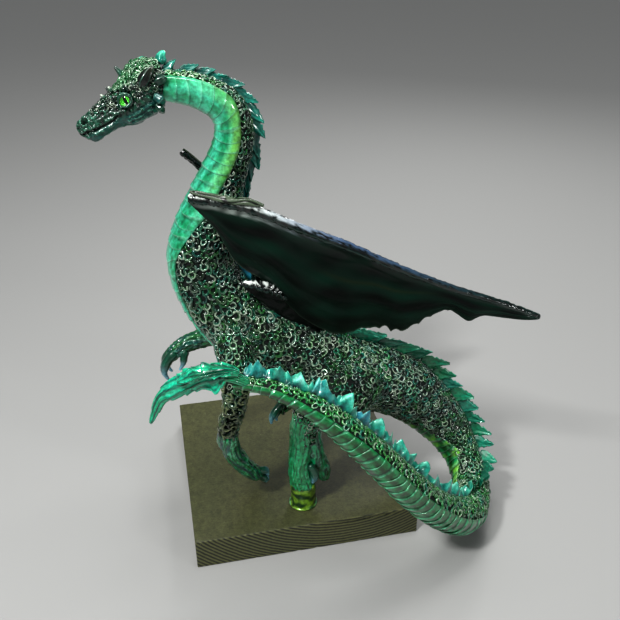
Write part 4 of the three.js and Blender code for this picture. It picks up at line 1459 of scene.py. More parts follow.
@dataclass
class Wing:
    """One wing: a skin drawn from a rolled finger to a ragged rear edge, an arm and a web."""

    front: Array  # the finger from wrist to tip: x, y, z, radius
    rear: Array  # the skin's other edge: x, y, z
    arm: Array
    fold: Array  # the rolled upper edge of the web that ties the wing to the flank
    foot: Array
    outward: int
    seed: int
    thick: float = 1.5
    belly: float = 5.0
    columns: int = 200
    levels: int = 46
    roll_sides: int = 30

    def membrane(self) -> Skin:
        """Draws the skin between finger and rear edge, with soft folds that meet at the wrist.

        Place (u, v) lies at share v of the way from the front to the rear edge, bowed outwards by
        sin(pi u) sin(pi v). Folds are bells across lines of even v. The rear edge is frayed where
        the skin is widest.

        Returns:
            Both faces and the edges as one closed skin.
        """
        rng = np.random.default_rng(self.seed)
        u = np.linspace(0, 1, self.columns)[:, None]
        frayed = ease(u, 0.5, 0.6) * (1 - ease(u, 0.7, 0.8))
        torn = 0.085 * np.abs(wander(u * 60, rng)) * frayed + 0.012 * np.abs(wander(u * 90, rng))
        v = np.linspace(0, 1, self.levels)[None, :] * (1 - torn)
        front = curve(self.front[:, :3], u * (len(self.front) - 1))
        rear = curve(self.rear, u * (len(self.rear) - 1))
        middle = front + (rear - front) * v[..., None]
        middle[..., 1] += self.outward * self.belly * np.sin(math.pi * v) * np.sin(math.pi * u)
        normal = unit(np.cross(np.gradient(middle, axis=1), np.gradient(middle, axis=0))) * -self.outward
        grown = ease(u, 0.02, 0.22) * (1 - 0.5 * u)
        relief = np.zeros_like(v)
        for centre in (0.13, 0.27, 0.41, 0.56, 0.70, 0.84):
            line = centre + 0.035 * wander(u * 4 + centre * 9, rng)
            relief = relief + rng.uniform(0.5, 1.2) * bump(v, line, rng.uniform(0.03, 0.07))
        fine = 0.10 * np.sin(46 * v + 4 * wander(u * 4, rng)) * np.sin(math.pi * v)
        curled = 1.3 * ease(v, 0.9, 1.0) * wander(u * 30, rng) * frayed
        relief = (relief + fine + 0.4 * hand_noise(middle, 30, self.seed) + curled) * grown
        middle = middle + normal * relief[..., None]
        half = self.thick / 2 * (1 - 0.65 * v**4) * ease(np.minimum(u, 1 - u) * 60, -0.6, 1)
        half = normal * half[..., None]
        drift = wander(u * 5, np.random.default_rng(self.seed + 9))
        tone = 0.45 + 0.3 * np.sin(17 * v + 3 * drift) + 0.25 * hand_noise(middle, 34, self.seed + 1)
        colour = blend(linear("#010705"), linear("#0a2e22"), np.clip(tone, 0, 1))
        streak = bump(v, 0.3 + 0.03 * wander(u * 8, rng), 0.02) * ease(u, 0.4, 0.5)
        streak = streak * (1 - ease(u, 0.6, 0.75))
        colour = blend(colour, Paint.OLIVE.rgb, streak * 0.7)
        # painted highlight: a band along the finger stands for the overhead lamp's reflection, silver by the
        # wrist, then blue-grey and broken, fading out along the wing
        across = v * np.linalg.norm(rear - front, axis=-1) + 0.8 * wander(u * 40, rng)  # mm from the finger
        band = (1 - ease(across + 5 * ease(u, 0.2, 0.6), 6.5, 9.5)) * ease(u, 0.0, 0.05)
        sheen = blend(linear("#c8d6ce"), linear("#4a5b6e"), ease(u + 0 * v, 0.15, 0.45))
        broken = np.clip(0.6 + 0.6 * wander(u * 50 + 6 * v, rng), 0, 1)
        colour = blend(colour, sheen, band * (1 - ease(u, 0.45, 0.8)) * broken)
        # painted highlight: a pale line along the rear edge, strongest by the wrist and where the edge is
        # frayed
        edge = ease(v / (1 - torn), 0.97, 1.0) * (1 - 0.75 * ease(u, 0.15, 0.35) * (1 - frayed))
        colour = blend(colour, linear("#7c8c78"), edge * 0.6)
        gloss = np.clip(0.04 + 0.5 * bump(v, 0.0, 0.12) + 0.3 * edge + 0.5 * band, 0, 1)
        return Skin.sheet(middle + half, middle - half, rgba(colour, gloss))

    def rolled(
        self, rows: Array, seed: int, rings: int = 110, crumple: float = 0.06, flat: float = 2.0,
        pale_to: float = 0.15,
    ) -> Skin:
        """A roll of wrapped skin along rows of x, y, z and radius, creased along its length.

        Args:
            rows: the roll's middle line and radius.
            seed: which creases.
            rings: places along it.
            crumple: height of the sharp creases, as a share of the radius.
            flat: how far out the pressed upper face lies, as a share of the radius; below 1 the face is
                pressed flat and carries a painted highlight.
            pale_to: how far along the roll the painted highlight stays silver before it turns blue, as a
                share.

        Returns:
            Its closed skin, all glossy.
        """
        rng = np.random.default_rng(seed)
        tube = Tube(rows, np.array([0.0, self.outward * 0.4, 1.0]))
        s, angle, here = tube.rounded(rings, self.roll_sides)
        turn = np.radians(angle)
        crease = 0.09 * np.cos(3 * turn + 1.3 * wander(s, rng))
        crease = crease + 0.05 * np.cos(7 * turn + 2 * wander(s * 1.7, rng))
        points = here.around(angle, here.radius)
        crease = crease + crumple * creases(points, 7, seed) + 0.5 * crumple * creases(points, 3, seed + 1)
        upwards = here.outward(angle) @ unit(np.array([-0.1, self.outward * 0.49, 0.87]))
        pressed = flat / np.clip(upwards, 0.05, 1)
        points = here.around(angle, here.radius * np.minimum(0.93 + crease, pressed + 0.35 * crease))
        # painted highlight: the upward face that meets the overhead lamp is painted with its reflection,
        # brightest on the creases' crests and fading along the roll
        face = ease(upwards, 0.55, 0.8) * (flat < 1)
        # painted shade: darker in the creases' hollows, lighter on their crests
        colour = blend(linear("#020706"), linear("#0b2a24"), np.clip(0.5 + 4 * crease, 0, 1))
        share = s / tube.last
        sheen = blend(linear("#e3ebe4"), linear("#4a6080"), ease(share, pale_to, pale_to + 0.35))
        face = face * np.clip(0.6 + 6 * crease, 0, 1) * (1 - ease(share, pale_to + 0.2, 0.9))
        colour = blend(colour, sheen, face)
        return Skin.lofted(points, rgba(colour, 1 + 0 * crease))

    def wrist_flap(self, last: float = 2.1, rise: float = 1.8) -> Skin:
        """The flap of skin that lies on top of the finger by the wrist, lined lengthwise; its olive-grey is
        a painted highlight where light falls on its top.
        """
        tube = Tube(self.front, np.array([0.0, self.outward * 0.4, 1.0]))
        rng = np.random.default_rng(self.seed + 7)
        s = np.linspace(0.06, last, 90)[:, None]
        x = np.linspace(-1, 1, 26)[None, :]
        share = s / last
        spread = 62 * np.sin(math.pi * np.clip(share, 0.03, 0.97)) ** 0.6
        angle = 12 * self.outward + x * spread
        here = tube.at(s + 0 * x)
        line = 8 * x + 3 * wander(s * 2.5 + x, rng)
        lift = 0.5 + rise * ease(share, 0.35, 0.85) + 0.3 * np.cos(line) + 0.5 * np.sin(5 * s + 2 * x)
        lens = np.sqrt(np.clip(1.02 - x**2, 0, 1))
        outer = here.around(angle, here.radius + lift * (0.4 + 0.6 * lens))
        inner = here.around(angle, here.radius + (lift - 1.0) * (0.4 + 0.6 * lens))
        groove = np.clip(-np.cos(line), 0, 1)
        # painted highlight: olive-grey for the lit top of the flap, near black along the grooves between its
        # lines
        colour = blend(linear("#4d5a48"), linear("#070b07"), np.clip(groove * 1.3, 0, 1))
        return Skin.sheet(outer, inner, rgba(colour, 0.55 + 0 * groove))

    def web(self) -> Skin:
        """The loose skin below the wing, from its rolled edge down to the flank."""
        u = np.linspace(0, 1, 90)[:, None]
        v = np.linspace(0, 1, 24)[None, :]
        top = curve(self.fold[:, :3], u * (len(self.fold) - 1))
        low = curve(self.foot, u * (len(self.foot) - 1))
        middle = top + (low - top) * v[..., None]
        normal = unit(np.cross(np.gradient(middle, axis=1), np.gradient(middle, axis=0))) * -self.outward
        wrinkle = 0.8 * np.sin(24 * u + 5 * v) * np.sin(math.pi * u) * (1 - v)
        wrinkle = wrinkle + 0.25 * creases(middle, 12, 8)
        middle = middle + normal * wrinkle[..., None]
        half = normal * (self.thick / 2)
        return Skin.sheet(middle + half, middle - half, rgba(linear("#020806"), 0.15 + 0 * wrinkle))

    def build(self) -> Skin:
        """All of the wing as one skin."""
        return Skin.joined([
            self.membrane(), self.rolled(self.front, self.seed + 2, 210, 0.09, 0.7), self.wrist_flap(),
            self.rolled(self.arm, self.seed + 3),
            self.rolled(self.fold, self.seed + 4, 160, 0.24, 0.9, 0.6), self.web(),
        ])


# Eyes


@dataclass
class GlassEye:
    """A clear glass dome over a painted iris with an upright slit."""

    head: Head
    side: int
    radius: float = 4.9
    dome: float = 2.4
    forward: float = 20.0
    out: float = 12.1
    up: float = 0.6
    opening: float = 2.9  # half the gap between the lids
    corner: float = 5.0  # from the middle to each corner

    def frame(self) -> tuple[Array, Array]:
        """The eye's middle, and rows: across, up, the way it looks."""
        forward, cheek, crown = self.head.axes
        look = unit(cheek * self.side + forward * 0.3 + crown * 0.12)
        up = squared(crown, look)
        middle = self.head.world(np.array([self.forward, self.side * self.out, self.up]))
        return middle, np.stack([np.cross(up, look), up, look])

    def turned(self, profile: Array, sides: int) -> tuple[Array, Array, Array]:
        """Turns rows of radius and height round the line of sight.

        Args:
            profile: (m, 2) rows from the back to the front.
            sides: places round the eye.

        Returns:
            Rings of points, and their across and up coordinates.
        """
        middle, axes = self.frame()
        turn = np.linspace(0, 2 * math.pi, sides, endpoint=False)[None, :]
        x, y = profile[:, :1] * np.cos(turn), profile[:, :1] * np.sin(turn)
        z = np.broadcast_to(profile[:, 1:2], x.shape)
        return middle + np.stack([x, y, z], -1) @ axes, x, y

    def glass(self) -> Skin:
        """The clear dome with a flat back."""
        rise = np.linspace(0, math.pi / 2, 18)[:-1]
        dome = np.stack([self.radius * np.cos(rise), self.dome * np.sin(rise)], -1)
        profile = np.concatenate([[[0.5, -0.9], [self.radius, -0.9]], dome, [[0.05, self.dome]]])
        rings, _, _ = self.turned(profile, 48)
        return Skin.lofted(rings, rgba(np.ones(3), np.zeros(rings.shape[:2])))

    def iris(self) -> Skin:
        """The painted disc under the glass: bright green, darker outside, with a black slit."""
        steps = np.linspace(0.02, 1, 36)
        front = np.stack([self.radius * steps[::-1], np.full(36, -1.0)], -1)
        profile = np.concatenate([[[0.1, -1.6], [self.radius, -1.6]], front])
        rings, x, y = self.turned(profile, 90)
        r = np.hypot(x, y) / self.radius
        turn = np.arctan2(y, x)
        rays = 0.5 + 0.5 * np.sin(turn * 23 + 3 * np.sin(turn * 5))
        colour = blend(linear("#0f7a14"), linear("#4fe02c"), np.clip(1.2 - 1.1 * r + 0.3 * rays, 0, 1))
        colour = blend(colour, linear("#03240a"), ease(r, 0.8, 1.0))
        width = 1.0 * np.sqrt(np.clip(1 - (y / 4.0) ** 2, 0, 1)) + 0.01
        colour = blend(colour, linear("#010402"), 1 - ease(np.abs(x) / width, 0.8, 1.1))
        return Skin.lofted(rings, rgba(colour, np.zeros(x.shape)))

    def lids(self) -> Skin:
        """Two rolls of clay round the glass, the upper heavier, meeting in the corners."""
        middle, axes = self.frame()
        parts = []
        reach_angle = 1.15
        low = math.cos(reach_angle)
        for sign, thick in ((1, 1.4), (-1, 0.9)):
            a = np.linspace(-reach_angle, reach_angle, 22)
            x = self.corner * np.sin(a) / math.sin(reach_angle)
            y = sign * (self.opening + thick) * (np.cos(a) - low) / (1 - low)
            local = np.stack([x, y - 0.1, 1.35 - 0.05 * x**2], -1)
            radius = thick * (0.4 + 0.6 * np.cos(a * 1.1))
            tube = Tube(np.concatenate([middle + local @ axes, radius[:, None]], 1), axes[2])
            s, angle, here = tube.rounded(60, 16)
            points = here.around(angle, here.radius * (1 + 0.12 * np.sin(s * 2.1)))
            rim = (0.35 if sign > 0 else 0.45) * (0.6 + 0.4 * np.cos(np.radians(angle)))
            parts.append(Skin.lofted(points, rgba(Paint.BOTTLE.rgb, rim)))
        return Skin.joined(parts)


# Studio


@dataclass
class Studio:
    """Pale floor, soft lights and the camera."""

    camera_at: tuple[float, float, float] = (-0.1012, -0.5810, 0.5284)
    azimuth: float = 11.996
    elevation: float = 29.832
    roll: float = -0.264
    focal_px: float = 770.48
    frame_px: float = 620.0
    aim: tuple[float, float, float] = (0.0, -0.03, 0.22)  # the figure's middle, where the lamps point
    floor: float = 12.0  # half its width
    haze: float = 40.0  # degrees that the daylight comes from

    def camera(self) -> None:
        """Sets the camera from its place, azimuth, elevation, roll and focal length."""
        az, el, roll = (math.radians(a) for a in (self.azimuth, self.elevation, self.roll))
        look = np.array([math.sin(az) * math.cos(el), math.cos(az) * math.cos(el), -math.sin(el)])
        level = np.array([math.cos(az), -math.sin(az), 0.0])
        lift = np.cross(level, look)
        right = math.cos(roll) * level + math.sin(roll) * lift
        top = -math.sin(roll) * level + math.cos(roll) * lift
        data = bpy.data.cameras.new("camera")
        data.sensor_width = 36.0
        data.lens = self.focal_px / self.frame_px * data.sensor_width
        data.clip_start = 0.01
        data.clip_end = 50.0
        camera = linked("camera", data)
        turn = np.stack([right, top, -look], 1)
        camera.matrix_world = Matrix([[*turn[n], self.camera_at[n]] for n in range(3)] + [[0, 0, 0, 1]])
        bpy.context.scene.camera = camera

    def light(self, name: str, place: tuple[float, float, float], size: float, watts: float) -> None:
        """A light at a place, facing the figure's middle: a square soft box, or far daylight.

        Args:
            name: the light's name.
            place: where it stands, in metres.
            size: the box's side, or 0 for daylight.
            watts: its strength; daylight's is in watts for each square metre.
        """
        data = bpy.data.lights.new(name, "AREA" if size else "SUN")
        if size:
            data.size = size
        else:
            data.angle = math.radians(self.haze)
        data.energy = watts
        lamp = linked(name, data)
        back = unit(np.array(place) - self.aim)
        side = unit(np.cross([0, 0, 1.0], back))
        turn = np.stack([side, np.cross(back, side), back], 1)
        lamp.matrix_world = Matrix([[*turn[n], place[n]] for n in range(3)] + [[0, 0, 0, 1]])

    def build(self) -> None:
        """Makes the floor, the lights, the pale surroundings and the camera."""
        mesh = bpy.data.meshes.new("floor")
        far = self.floor
        corners = [(-far, -far, 0), (far, -far, 0), (far, far, 0), (-far, far, 0)]
        mesh.from_pydata(corners, [], [(0, 1, 2, 3)])
        placed_object(mesh, PlainFinish("pale_studio_floor", "#a4a4a2", 0.9).build())
        self.light("key", (-0.62, -0.60, 1.15), 0.14, 12.5)
        self.light("overhead", (0.12, 0.02, 1.30), 0.34, 5.0)
        self.light("rear", (0.60, 0.95, 0.95), 0.30, 4.0)
        self.light("fill", (1.0, -1.2, 0.7), 0.20, 4.0)
        self.light("daylight", (-0.5, -0.3, 2.0), 0.0, 0.8)
        world = bpy.data.worlds.new("studio")
        bpy.context.scene.world = world
        world.use_nodes = True
        world.node_tree.nodes["Background"].inputs["Color"].default_value = (0.9, 0.95, 1.0, 1)
        world.node_tree.nodes["Background"].inputs["Strength"].default_value = 0.12
        bpy.context.scene.view_settings.view_transform = "Standard"
        bpy.context.scene.view_settings.look = "Medium High Contrast"
        self.camera()


# Building


class Slot(Enum):
    """The record's material slots."""

    WOOD = "stained_wood"
    CLAY = "painted_clay"
    LACQUER = "lacquered_clay"
    GLASS = "eye_glass"


@dataclass
class Bench:
    """Puts finished pieces into the scene and counts their triangles."""

    made: int = 0

    def put(self, name: str, shape: Skin | Mesh, material: Material,
            stands_for: str = "dragon") -> Object:
        """Makes a piece, lets it ride on the figure and reports it.

        Args:
            name: the piece's name.
            shape: its skin or finished mesh.
            material: its finish.
            stands_for: the CAD node that it takes the place of.

        Returns:
            The object.
        """
        mesh = shape.mesh(name) if isinstance(shape, Skin) else shape
        piece = placed_object(mesh, material)
        piece.name = name
        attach(piece, "root")
        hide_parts(stands_for)
        triangles = sum(max(0, p.loop_total - 2) for p in mesh.polygons)
        self.made += triangles
        LOG.info("%s: %d triangles", name, triangles)
        return piece


# Sizes and places, in millimetres above the block


TRUNK_SCALES = np.array([  # row on the spine, distance from row to row, ring width, belly half angle
    [0, 3.4, 4.2, 112], [2, 3.6, 4.6, 108], [3.5, 3.8, 4.9, 92], [6, 4.0, 5.1, 88], [8, 4.3, 5.6, 72],
    [9, 4.6, 6.0, 51], [10, 4.9, 6.5, 33], [12, 5.1, 6.9, 18], [15, 4.7, 6.2, 28], [17, 4.4, 5.8, 30],
    [18.5, 4.4, 5.7, 60], [20, 4.4, 5.7, 86], [24, 4.5, 5.9, 90], [28, 4.4, 5.7, 92],
    [31, 3.8, 4.8, 100], [33, 3.4, 4.2, 100],
], float)
LIMB_SCALES = np.array([[0, 4.8, 6.3, 0], [3, 4.5, 5.8, 0], [9, 4.2, 5.4, 0]], float)
NECK_BELLY = BellyBand(0.5, 12.5, np.array([
    [0, 9, 115, 0.15], [3, 9, 112, 0.25], [4, 9, 95, 0.6], [6, 9, 90, 0.8], [8, 9, 72, 0.9],
    [9, 8.5, 51, 0.9], [10, 8.5, 33, 0.9], [11, 8.5, 24, 0.9], [12.5, 8.5, 18, 0.8],
], float), 71, (Paint.BOTTLE, Paint.JADE, Paint.AQUA), gap_dark=0.4, lip_pale=0.45, lime_edge=0.8)
TAIL_BELLY = BellyBand(12.5, 32.6, np.array([
    [12.5, 9, 18, 0.8], [15, 9, 28, 0.8], [17, 9, 30, 0.8], [18.5, 9, 60, 1.0], [20, 9, 86, 1.2],
    [24, 9, 90, 1.4], [28, 8.5, 92, 1.3], [31, 7.5, 100, 1.0], [33, 6, 100, 0.5],
], float), 72, (Paint.WASH, Paint.FERN, Paint.EMERALD), lip_pale=0.28, lime_patches=0.8, room=1.7)
BACK_FINS = SweptFins(np.array([
    [0.7, 12, 4.5, 10, 4.5], [2, 8, 5, 15, 3], [4, 7.5, 6, 19, 4], [6, 7.5, 6.5, 21, 5], [8, 9, 7, 19, 6.5],
    [10, 11, 7, 17, 7.5], [12, 15, 8.5, 24, 7], [14, 16, 9, 26, 8], [17, 14, 8.5, 21, 10],
    [18.5, 13, 8, 17, 10.2], [20, 12, 7.5, 13, 10.5], [22, 11, 7, 9, 9],
], float))
TAIL_FINS = LobedFins(np.array([[22.5, 17, 11.5], [27, 17, 13], [30, 17, 14], [32.2, 14, 15.5]], float))
TAIL_LEAVES = (
    TailLeaf(np.array([
        [-50, -136, 183, 3, 4], [-62.5, -136.5, 191.5, 4, 5], [-69, -134, 192.5, 7, 9.5],
        [-77, -131, 190.5, 8.5, 14], [-86, -128, 186.5, 9.8, 10], [-93.5, -125, 182, 9.6, 9.2],
        [-99.5, -122.5, 179.5, 7, 9.4], [-106, -119, 173.5, 6, 7.6], [-112.5, -116, 165.5, 5, 4.9],
        [-118, -114, 154, 3.4, 3.4], [-122.5, -113, 142.7, 1.4, 1.4],
    ], float), 36),
    TailLeaf(np.array([
        [-58, -137, 194, 2.5, 3], [-66, -138.5, 198, 5, 4.5], [-76, -138, 198.5, 6.5, 5.5],
        [-86, -136, 196, 6.5, 5], [-94, -133, 191.5, 4.5, 4], [-100, -130, 187.5, 1, 1],
    ], float), 41, thick=2.4, fold=1.0),
)
LEGS = {
    "standing_leg": GroovedLimb(np.array([
        [14, -74, 112, 14], [6, -74, 102, 13.5], [0.5, -74, 88, 11.2], [-1.5, -73, 66, 10.2],
        [-2.5, -72, 42, 10.4], [-1, -71, 24, 11.2], [0, -71, 14, 10],
    ], float), (Paint.JADE, Paint.EMERALD, Paint.WASH), 81, grooves=17),
    "heel": GroovedLimb(np.array([
        [7, -74, 88, 7], [9, -73.5, 70, 8], [12, -71, 50, 8.6], [17, -68, 34, 8.4], [20, -66.5, 24, 6],
        [20.5, -66, 18, 3],
    ], float), (Paint.JADE, Paint.BOTTLE, Paint.WASH), 82, grooves=12),
    "near_foreleg": GroovedLimb(np.array([
        [-62, -77, 100, 9], [-64, -75, 88, 9], [-60, -71, 68, 8.2], [-51, -66, 48, 7.7], [-42, -62, 35, 7.2],
        [-35, -60, 29, 5.5],
    ], float), (Paint.DEEP_TEAL, Paint.EMERALD, Paint.WASH), 83, grooves=15),
    "far_forearm": GroovedLimb(np.array([
        [-44, -20, 168, 15], [-60, -13, 154, 10.5], [-76, -8, 146, 8.2], [-90, -8, 141.5, 7.4],
        [-100, -8, 135, 6.6], [-104, -9, 127, 4.8],
    ], float), (Paint.MOSS, Paint.DEEP_TEAL, Paint.WASH), 84, grooves=11, depth=0.12),
}
CLAWS = Claws(tuple(np.array(rows, float) for rows in (
    [[-98, -12, 138, 5], [-106, -14, 131, 4.2], [-110, -15, 121, 3], [-107, -15, 112, 1]],
    [[-100, -6, 136, 4.6], [-107.5, -4, 128, 3.6], [-107, -3, 119, 2.4], [-103, -3, 112, 0.9]],
    [[-90, -12, 139, 4], [-92, -15, 133, 3.2], [-93.5, -16, 127, 2.2], [-97, -16, 121, 0.9]],
    [[-43, -63, 37, 5], [-36, -62, 36, 3.6], [-31, -61, 34, 3], [-30, -61, 28, 1.4]],
    [[-42, -61, 33, 5], [-35, -60, 27, 4], [-31, -60, 23, 3], [-31, -60, 28, 1.2]],
    [[4, -79, 50, 3.2], [8, -80.5, 42, 3.8], [8.6, -81, 35, 3], [6.5, -80.5, 29, 1]],
    [[-4, -2, 60, 5], [-12, -6, 56, 3.8], [-17, -8, 49, 2.6], [-17, -8, 43, 0.9]],
    [[-4, 2, 58, 5], [-8, 3, 50, 3.8], [-11, 3, 43, 2.6], [-10, 3, 37, 0.9]],
)))
HEAD = Head(np.array([
    [-12, 10, 15, 9], [-3, 13, 20.5, 13.5], [5.5, 14.2, 20.5, 17], [12.5, 14.2, 17.2, 16.8],
    [19.9, 12.6, 13.8, 17], [26.7, 10.4, 11.8, 14.9], [35, 8.6, 9.8, 13.2], [44.5, 7.6, 7.8, 13.3],
    [51, 7, 6.6, 13.6], [56, 5, 5, 8.5], [58.5, 2.4, 2.4, 4],
], float), np.array([-95.4, -36, 367.8]), np.array([-0.904, -0.103, -0.414]))
CROWN_HORNS = (
    ([(26, 0, 9, 2.2), (26.4, 0, 12, 1.2), (27, 0, 15.2, 0.5)], (Paint.DARK_GREEN, Paint.WASH)),
    ([(12.5, 0, 14, 2.6), (13.4, 0, 19, 1.9), (14.6, 0, 23.8, 0.9)], (Paint.BOTTLE, Paint.DARK_GREEN)),
    ([(-3, 0, 15, 4.0), (-4, 0, 19.5, 3.2), (-4.5, 0, 21.2, 1.8)], (Paint.TEAL, Paint.AQUA)),
    ([(-13.5, 0, 10, 4.4), (-16, 0, 14.4, 3.4), (-20, 0, 17, 1.2)], (Paint.TEAL, Paint.AQUA)),
)
CHEEK_HORNS = (
    ([(8, 11.5, 3, 2.6), (2, 13.6, 6.4, 3.9), (-4, 14.2, 9, 2.9), (-7.5, 13.5, 10.6, 1)],
     (Paint.WASH, Paint.OLIVE)),
    ([(-3, 11, 2, 3), (-8, 12.6, 1, 3.2), (-12, 12.3, 0, 1.2)], (Paint.DARK_GREEN, Paint.BOTTLE)),
    ([(-2.5, 11, -8.6, 3.4), (0.2, 12.6, -9.4, 4.8), (2.4, 12, -10.2, 3.2)],
     (Paint.DEEP_TEAL, Paint.DEEP_TEAL)),
    ([(0.5, 9.4, -13.2, 3), (2.6, 10.6, -14.3, 3.8), (4.6, 10, -14.8, 2.6)],
     (Paint.DARK_GREEN, Paint.BOTTLE)),
    ([(31, 6, 8.5, 1.2), (31.4, 6.4, 10.4, 0.9), (32.4, 6.4, 12, 0.4)], (Paint.BOTTLE, Paint.DRY_BRUSH)),
    ([(24.5, 8, 10, 1.4), (24.6, 8.6, 12.4, 1), (25.2, 8.6, 14, 0.4)], (Paint.BOTTLE, Paint.DRY_BRUSH)),
    ([(23, 11, -4.8, 1.3), (24.4, 11, -5, 1.3)], (Paint.BOTTLE, Paint.BOTTLE)),
    ([(18.8, 11.6, -6.7, 1.5), (20.4, 11.6, -6.9, 1.4)], (Paint.BOTTLE, Paint.BOTTLE)),
    ([(12.7, 12.2, -9.4, 1.4), (14.3, 12.2, -9.6, 1.4)], (Paint.BOTTLE, Paint.BOTTLE)),
)
MIDDLE = -35.0  # the trunk's middle plane; the far web mirrors the near one across it
FOLD = np.array([[-46, -60, 223, 1.6], [-33, -62, 221.5, 3.4], [-22, -63, 217, 3.8], [-10, -62, 210, 3.6],
                 [2, -58, 199, 3], [14, -54, 186, 2]], float)
FOOT = np.array([[-44, -60, 221], [-28.5, -56, 203], [-14, -53.5, 187.5], [0, -51, 177.5], [12, -48, 170],
                 [24, -44, 162]], float)


def mirrored(rows: Array) -> Array:
    """The same rows on the other side of the trunk's middle plane."""
    return np.concatenate([rows[:, :1], 2 * MIDDLE - rows[:, 1:2], rows[:, 2:]], 1)


NEAR_WING = Wing(
    front=np.array([[-80, -85, 306, 4.2], [-55, -89, 301, 4], [-34, -93, 295, 3.8], [-6, -99, 282, 3.6],
                    [29, -106, 267, 3.4], [64, -113, 250, 3.1], [101, -120, 234, 2.8], [139, -126, 220, 2.4],
                    [171, -130, 206, 1.8]], float),
    rear=np.array([[-80, -84, 302], [-62.5, -77, 277], [-50, -70, 249], [-40, -65, 235.5], [-30.5, -61, 226],
                   [-21, -59, 216], [0, -61, 190], [22, -56, 170], [38, -52, 162], [59, -64, 172],
                   [77, -82, 176], [97, -97, 196], [108, -106, 206], [121, -113, 199], [132, -118, 205],
                   [157, -126, 203], [170, -130, 204]], float),
    arm=np.array([[-20, -44, 182, 8], [-27, -46, 202, 6.5], [-30, -54, 236, 4.6], [-29, -79, 281, 3.6],
                  [-26, -91, 290, 3]], float),
    fold=FOLD, foot=FOOT, outward=-1, seed=91,
)
FAR_WING = Wing(
    front=np.array([[-78, 15, 305, 2.6], [-58, 25, 284, 2.9], [-35, 33, 258, 3.4], [-5, 40, 228, 3.5],
                    [30, 46, 202, 3.2], [65, 51, 178, 2.9], [100, 56, 157, 2.5],
                    [145, 60, 138, 1.8]], float),
    rear=np.array([[-78, 15, 304], [-62, 20, 282], [-48, 8, 250], [-36, -4, 232], [-21, -11, 216],
                   [0, -9, 190], [22, -14, 170], [38, -18, 160], [55, -6, 150], [78, 14, 142],
                   [100, 34, 150], [112, 44, 140], [143, 59, 137]], float),
    arm=np.array([[-20, -26, 182, 8], [-27, -24, 202, 6.5], [-33, -10, 230, 4.6], [-38, 20, 256, 3.6],
                  [-38, 30, 260, 3]], float),
    fold=mirrored(FOLD), foot=mirrored(FOOT), outward=1, seed=95, columns=120, levels=30, roll_sides=20,
)
GREENNESS = np.array([  # row on the spine, how green its scales are painted
    [0, 0.75], [1, 0.6], [3, 0.3], [5, 0.1], [9, 0.08], [12, 0.15], [15, 0.22], [18, 0.06], [20, 0.25],
    [22, 0.5], [25, 0.65], [33, 0.8],
])


def scale_tones(s: Array, rng: np.random.Generator, olive: float) -> tuple[Array, Array]:
    """Paints scales, each a little differently.

    Args:
        s: row numbers on the spine.
        rng: the hand's scatter.
        olive: how far the paint leans to olive.

    Returns:
        (n, 3) colours of hollows and of ridges.
    """
    n = len(s)
    green = np.clip(table(GREENNESS, s)[0] + rng.normal(0, 0.18, n), 0, 1)
    deep = blend(Paint.WASH.rgb, Paint.BOTTLE.rgb, green * 0.3)
    ridge = blend(Paint.DARK_GREEN.rgb * 0.7, Paint.GRASS.rgb, green)
    ridge = blend(ridge, Paint.TEAL.rgb, np.clip(rng.normal(0.1, 0.3, n), 0, 0.8))
    ridge = blend(ridge, Paint.OLIVE.rgb, np.clip(olive + rng.normal(0, 0.15, n), 0, 1))
    return deep, ridge


def dress_body(bench: Bench, clay: Material, core: Material, gold: Material) -> None:
    """Makes the bare body and presses the ring scales on trunk, thighs and upper forelegs."""
    body = bench.put("body", Core().build(), core)
    limbs = (NEAR_THIGH, NEAR_SHOULDER, FAR_SHOULDER, FAR_THIGH)
    rings = RingScales()
    fields = {
        "neck": (TRUNK, 0.4, 11.0, rings), "torso": (TRUNK, 11.0, 19.5, rings),
        "tail": (TRUNK, 19.5, 32.3, rings), "near_thigh": (NEAR_THIGH, 0.2, 4.1, rings),
        "near_shoulder": (NEAR_SHOULDER, 0.2, 2.4, rings),
        "near_foreleg": (NEAR_SHOULDER, 2.4, 5.0, RingScales(height=3.4, opening=290, turned=1.6)),
        "far_foreleg": (FAR_SHOULDER, 0.2, 1.4, rings), "far_thigh": (FAR_THIGH, 0.2, 4.4, rings),
    }
    rng = np.random.default_rng(SEED)
    placed = []
    for number, (name, (tube, start, end, hand)) in enumerate(fields.items()):
        trunk = tube is TRUNK
        others = tuple(t for t in (TRUNK, *limbs) if t is not tube)
        rows = TRUNK_SCALES if trunk else LIMB_SCALES * ([1, 0.72, 1.25, 1] if name == "near_foreleg" else 1)
        field = ScaleField(tube, start, end, rows, others, 31 + number)
        places, ahead, width, s = field.places()
        places, normals = seated(places, body)
        placed.append(places)
        deep, ridge = scale_tones(s if trunk else np.full(len(s), 15.0), rng, 0.6 if "fore" in name else 0.1)
        finish = gold if name == "near_foreleg" else clay
        scales = hand.build(places, normals, ahead, width, deep, ridge, 60 + number)
        bench.put(f"{name}_scales", scales, finish)
    places, ahead, s = BareClay().places(body, np.concatenate(placed))
    places, normals = seated(places, body)
    deep, ridge = scale_tones(s, rng, 0.2)
    width = table(TRUNK_SCALES, s)[1]
    bench.put("last_scales", rings.build(places, normals, ahead, width, deep, ridge, 70), clay)


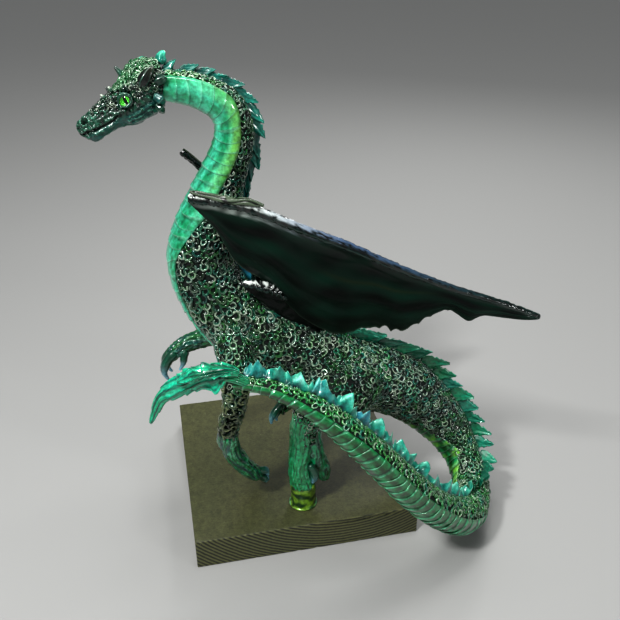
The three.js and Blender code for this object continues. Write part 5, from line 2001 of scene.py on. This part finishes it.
def dress_head(bench: Bench, clay: Material, pearl: Material) -> None:
    """Makes the head with its scales, horns, ears, lids and glass eyes."""
    face = bench.put("head", HEAD.build(), pearl)
    places, back, wide, green = HEAD.scale_places()
    places, normals = seated(places, face)
    deep = blend(Paint.WASH.rgb, Paint.BOTTLE.rgb, green * 0.6)
    tone = np.clip(green + np.random.default_rng(SEED + 21).normal(0, 0.25, len(green)), 0, 1)
    ridge = blend(Paint.DARK_GREEN.rgb, Paint.MOSS.rgb, tone)
    bench.put("head_scales", RingScales().build(places, normals, back, wide, deep, ridge, 77), clay)
    horns = [HEAD.horn(rows, colours) for rows, colours in CROWN_HORNS]
    for side in (1, -1):
        for rows, colours in CHEEK_HORNS:
            horns.append(HEAD.horn([(f, side * y, n, r) for f, y, n, r in rows], colours))
    bench.put("horns_and_ears", Skin.joined(horns), pearl)
    eyes = {"left": GlassEye(HEAD, 1), "right": GlassEye(HEAD, -1)}
    bench.put("eyelids", Skin.joined([eye.lids() for eye in eyes.values()]), pearl)
    iris_paint = PaintedIris().build()
    glass = PlainFinish("clear_glass", "#ffffff", 0.0, clear=1.0).build()
    for side, eye in eyes.items():
        bench.put(f"iris_{side}", eye.iris(), iris_paint, f"eye_{side}")
        bench.put(f"glass_{side}", eye.glass(), glass, f"eye_{side}")


def main() -> None:
    """Builds every piece in order."""
    logging.basicConfig(level=logging.INFO, format="%(name)s: %(message)s")
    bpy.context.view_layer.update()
    bench = Bench()
    scale_clay = PearlClay(
        "dry_brushed_clay", roughness=0.24, metallic=0.25, varnish=1.0, brush_from=0.68, brush_strength=1.0
    ).build()
    # the bare clay: its own dark wash, with painted shade for the hollows between the scales
    core_clay = PearlClay(
        "dark_wash_and_shade_clay", roughness=0.8, metallic=0.0, varnish=0.0, brush_strength=0.0
    ).build()
    pearl = PearlClay(
        "pearl_green_clay", metallic=0.12, brush=Paint.MINT, brush_strength=0.55, varnish=0.8
    ).build()
    lacquer = BlackLacquer().build()
    gold_clay = PearlClay(
        "gold_brushed_clay", roughness=0.3, metallic=0.2, varnish=0.9, brush_from=0.5, brush=Paint.GOLD_BRUSH
    ).build()
    dress_body(bench, scale_clay, core_clay, gold_clay)
    bench.put("neck_belly", NECK_BELLY.build(), pearl)
    bench.put("tail_belly", TAIL_BELLY.build(), pearl)
    bench.put("back_fins", BACK_FINS.build(), pearl)
    bench.put("tail_fins", TAIL_FINS.build(), pearl)
    bench.put("tail_leaf", Skin.joined([leaf.build() for leaf in TAIL_LEAVES]), pearl)
    for name, leg in LEGS.items():
        bench.put(name, leg.build(), pearl)
    bench.put("foot_stub", Stub().build(), pearl)
    bench.put("claws", CLAWS.build(), pearl)
    dress_head(bench, scale_clay, pearl)
    bench.put("near_wing", NEAR_WING.build(), lacquer, "wing_left")
    bench.put("far_wing", FAR_WING.build(), lacquer, "wing_right")
    bench.put("block", Block(200, 200, 30).build(), StainedWood().build(), "plinth")
    Studio().build()
    LOG.info("%d triangles in all", bench.made)
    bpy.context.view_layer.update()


if __name__ == "__main__":
    main()
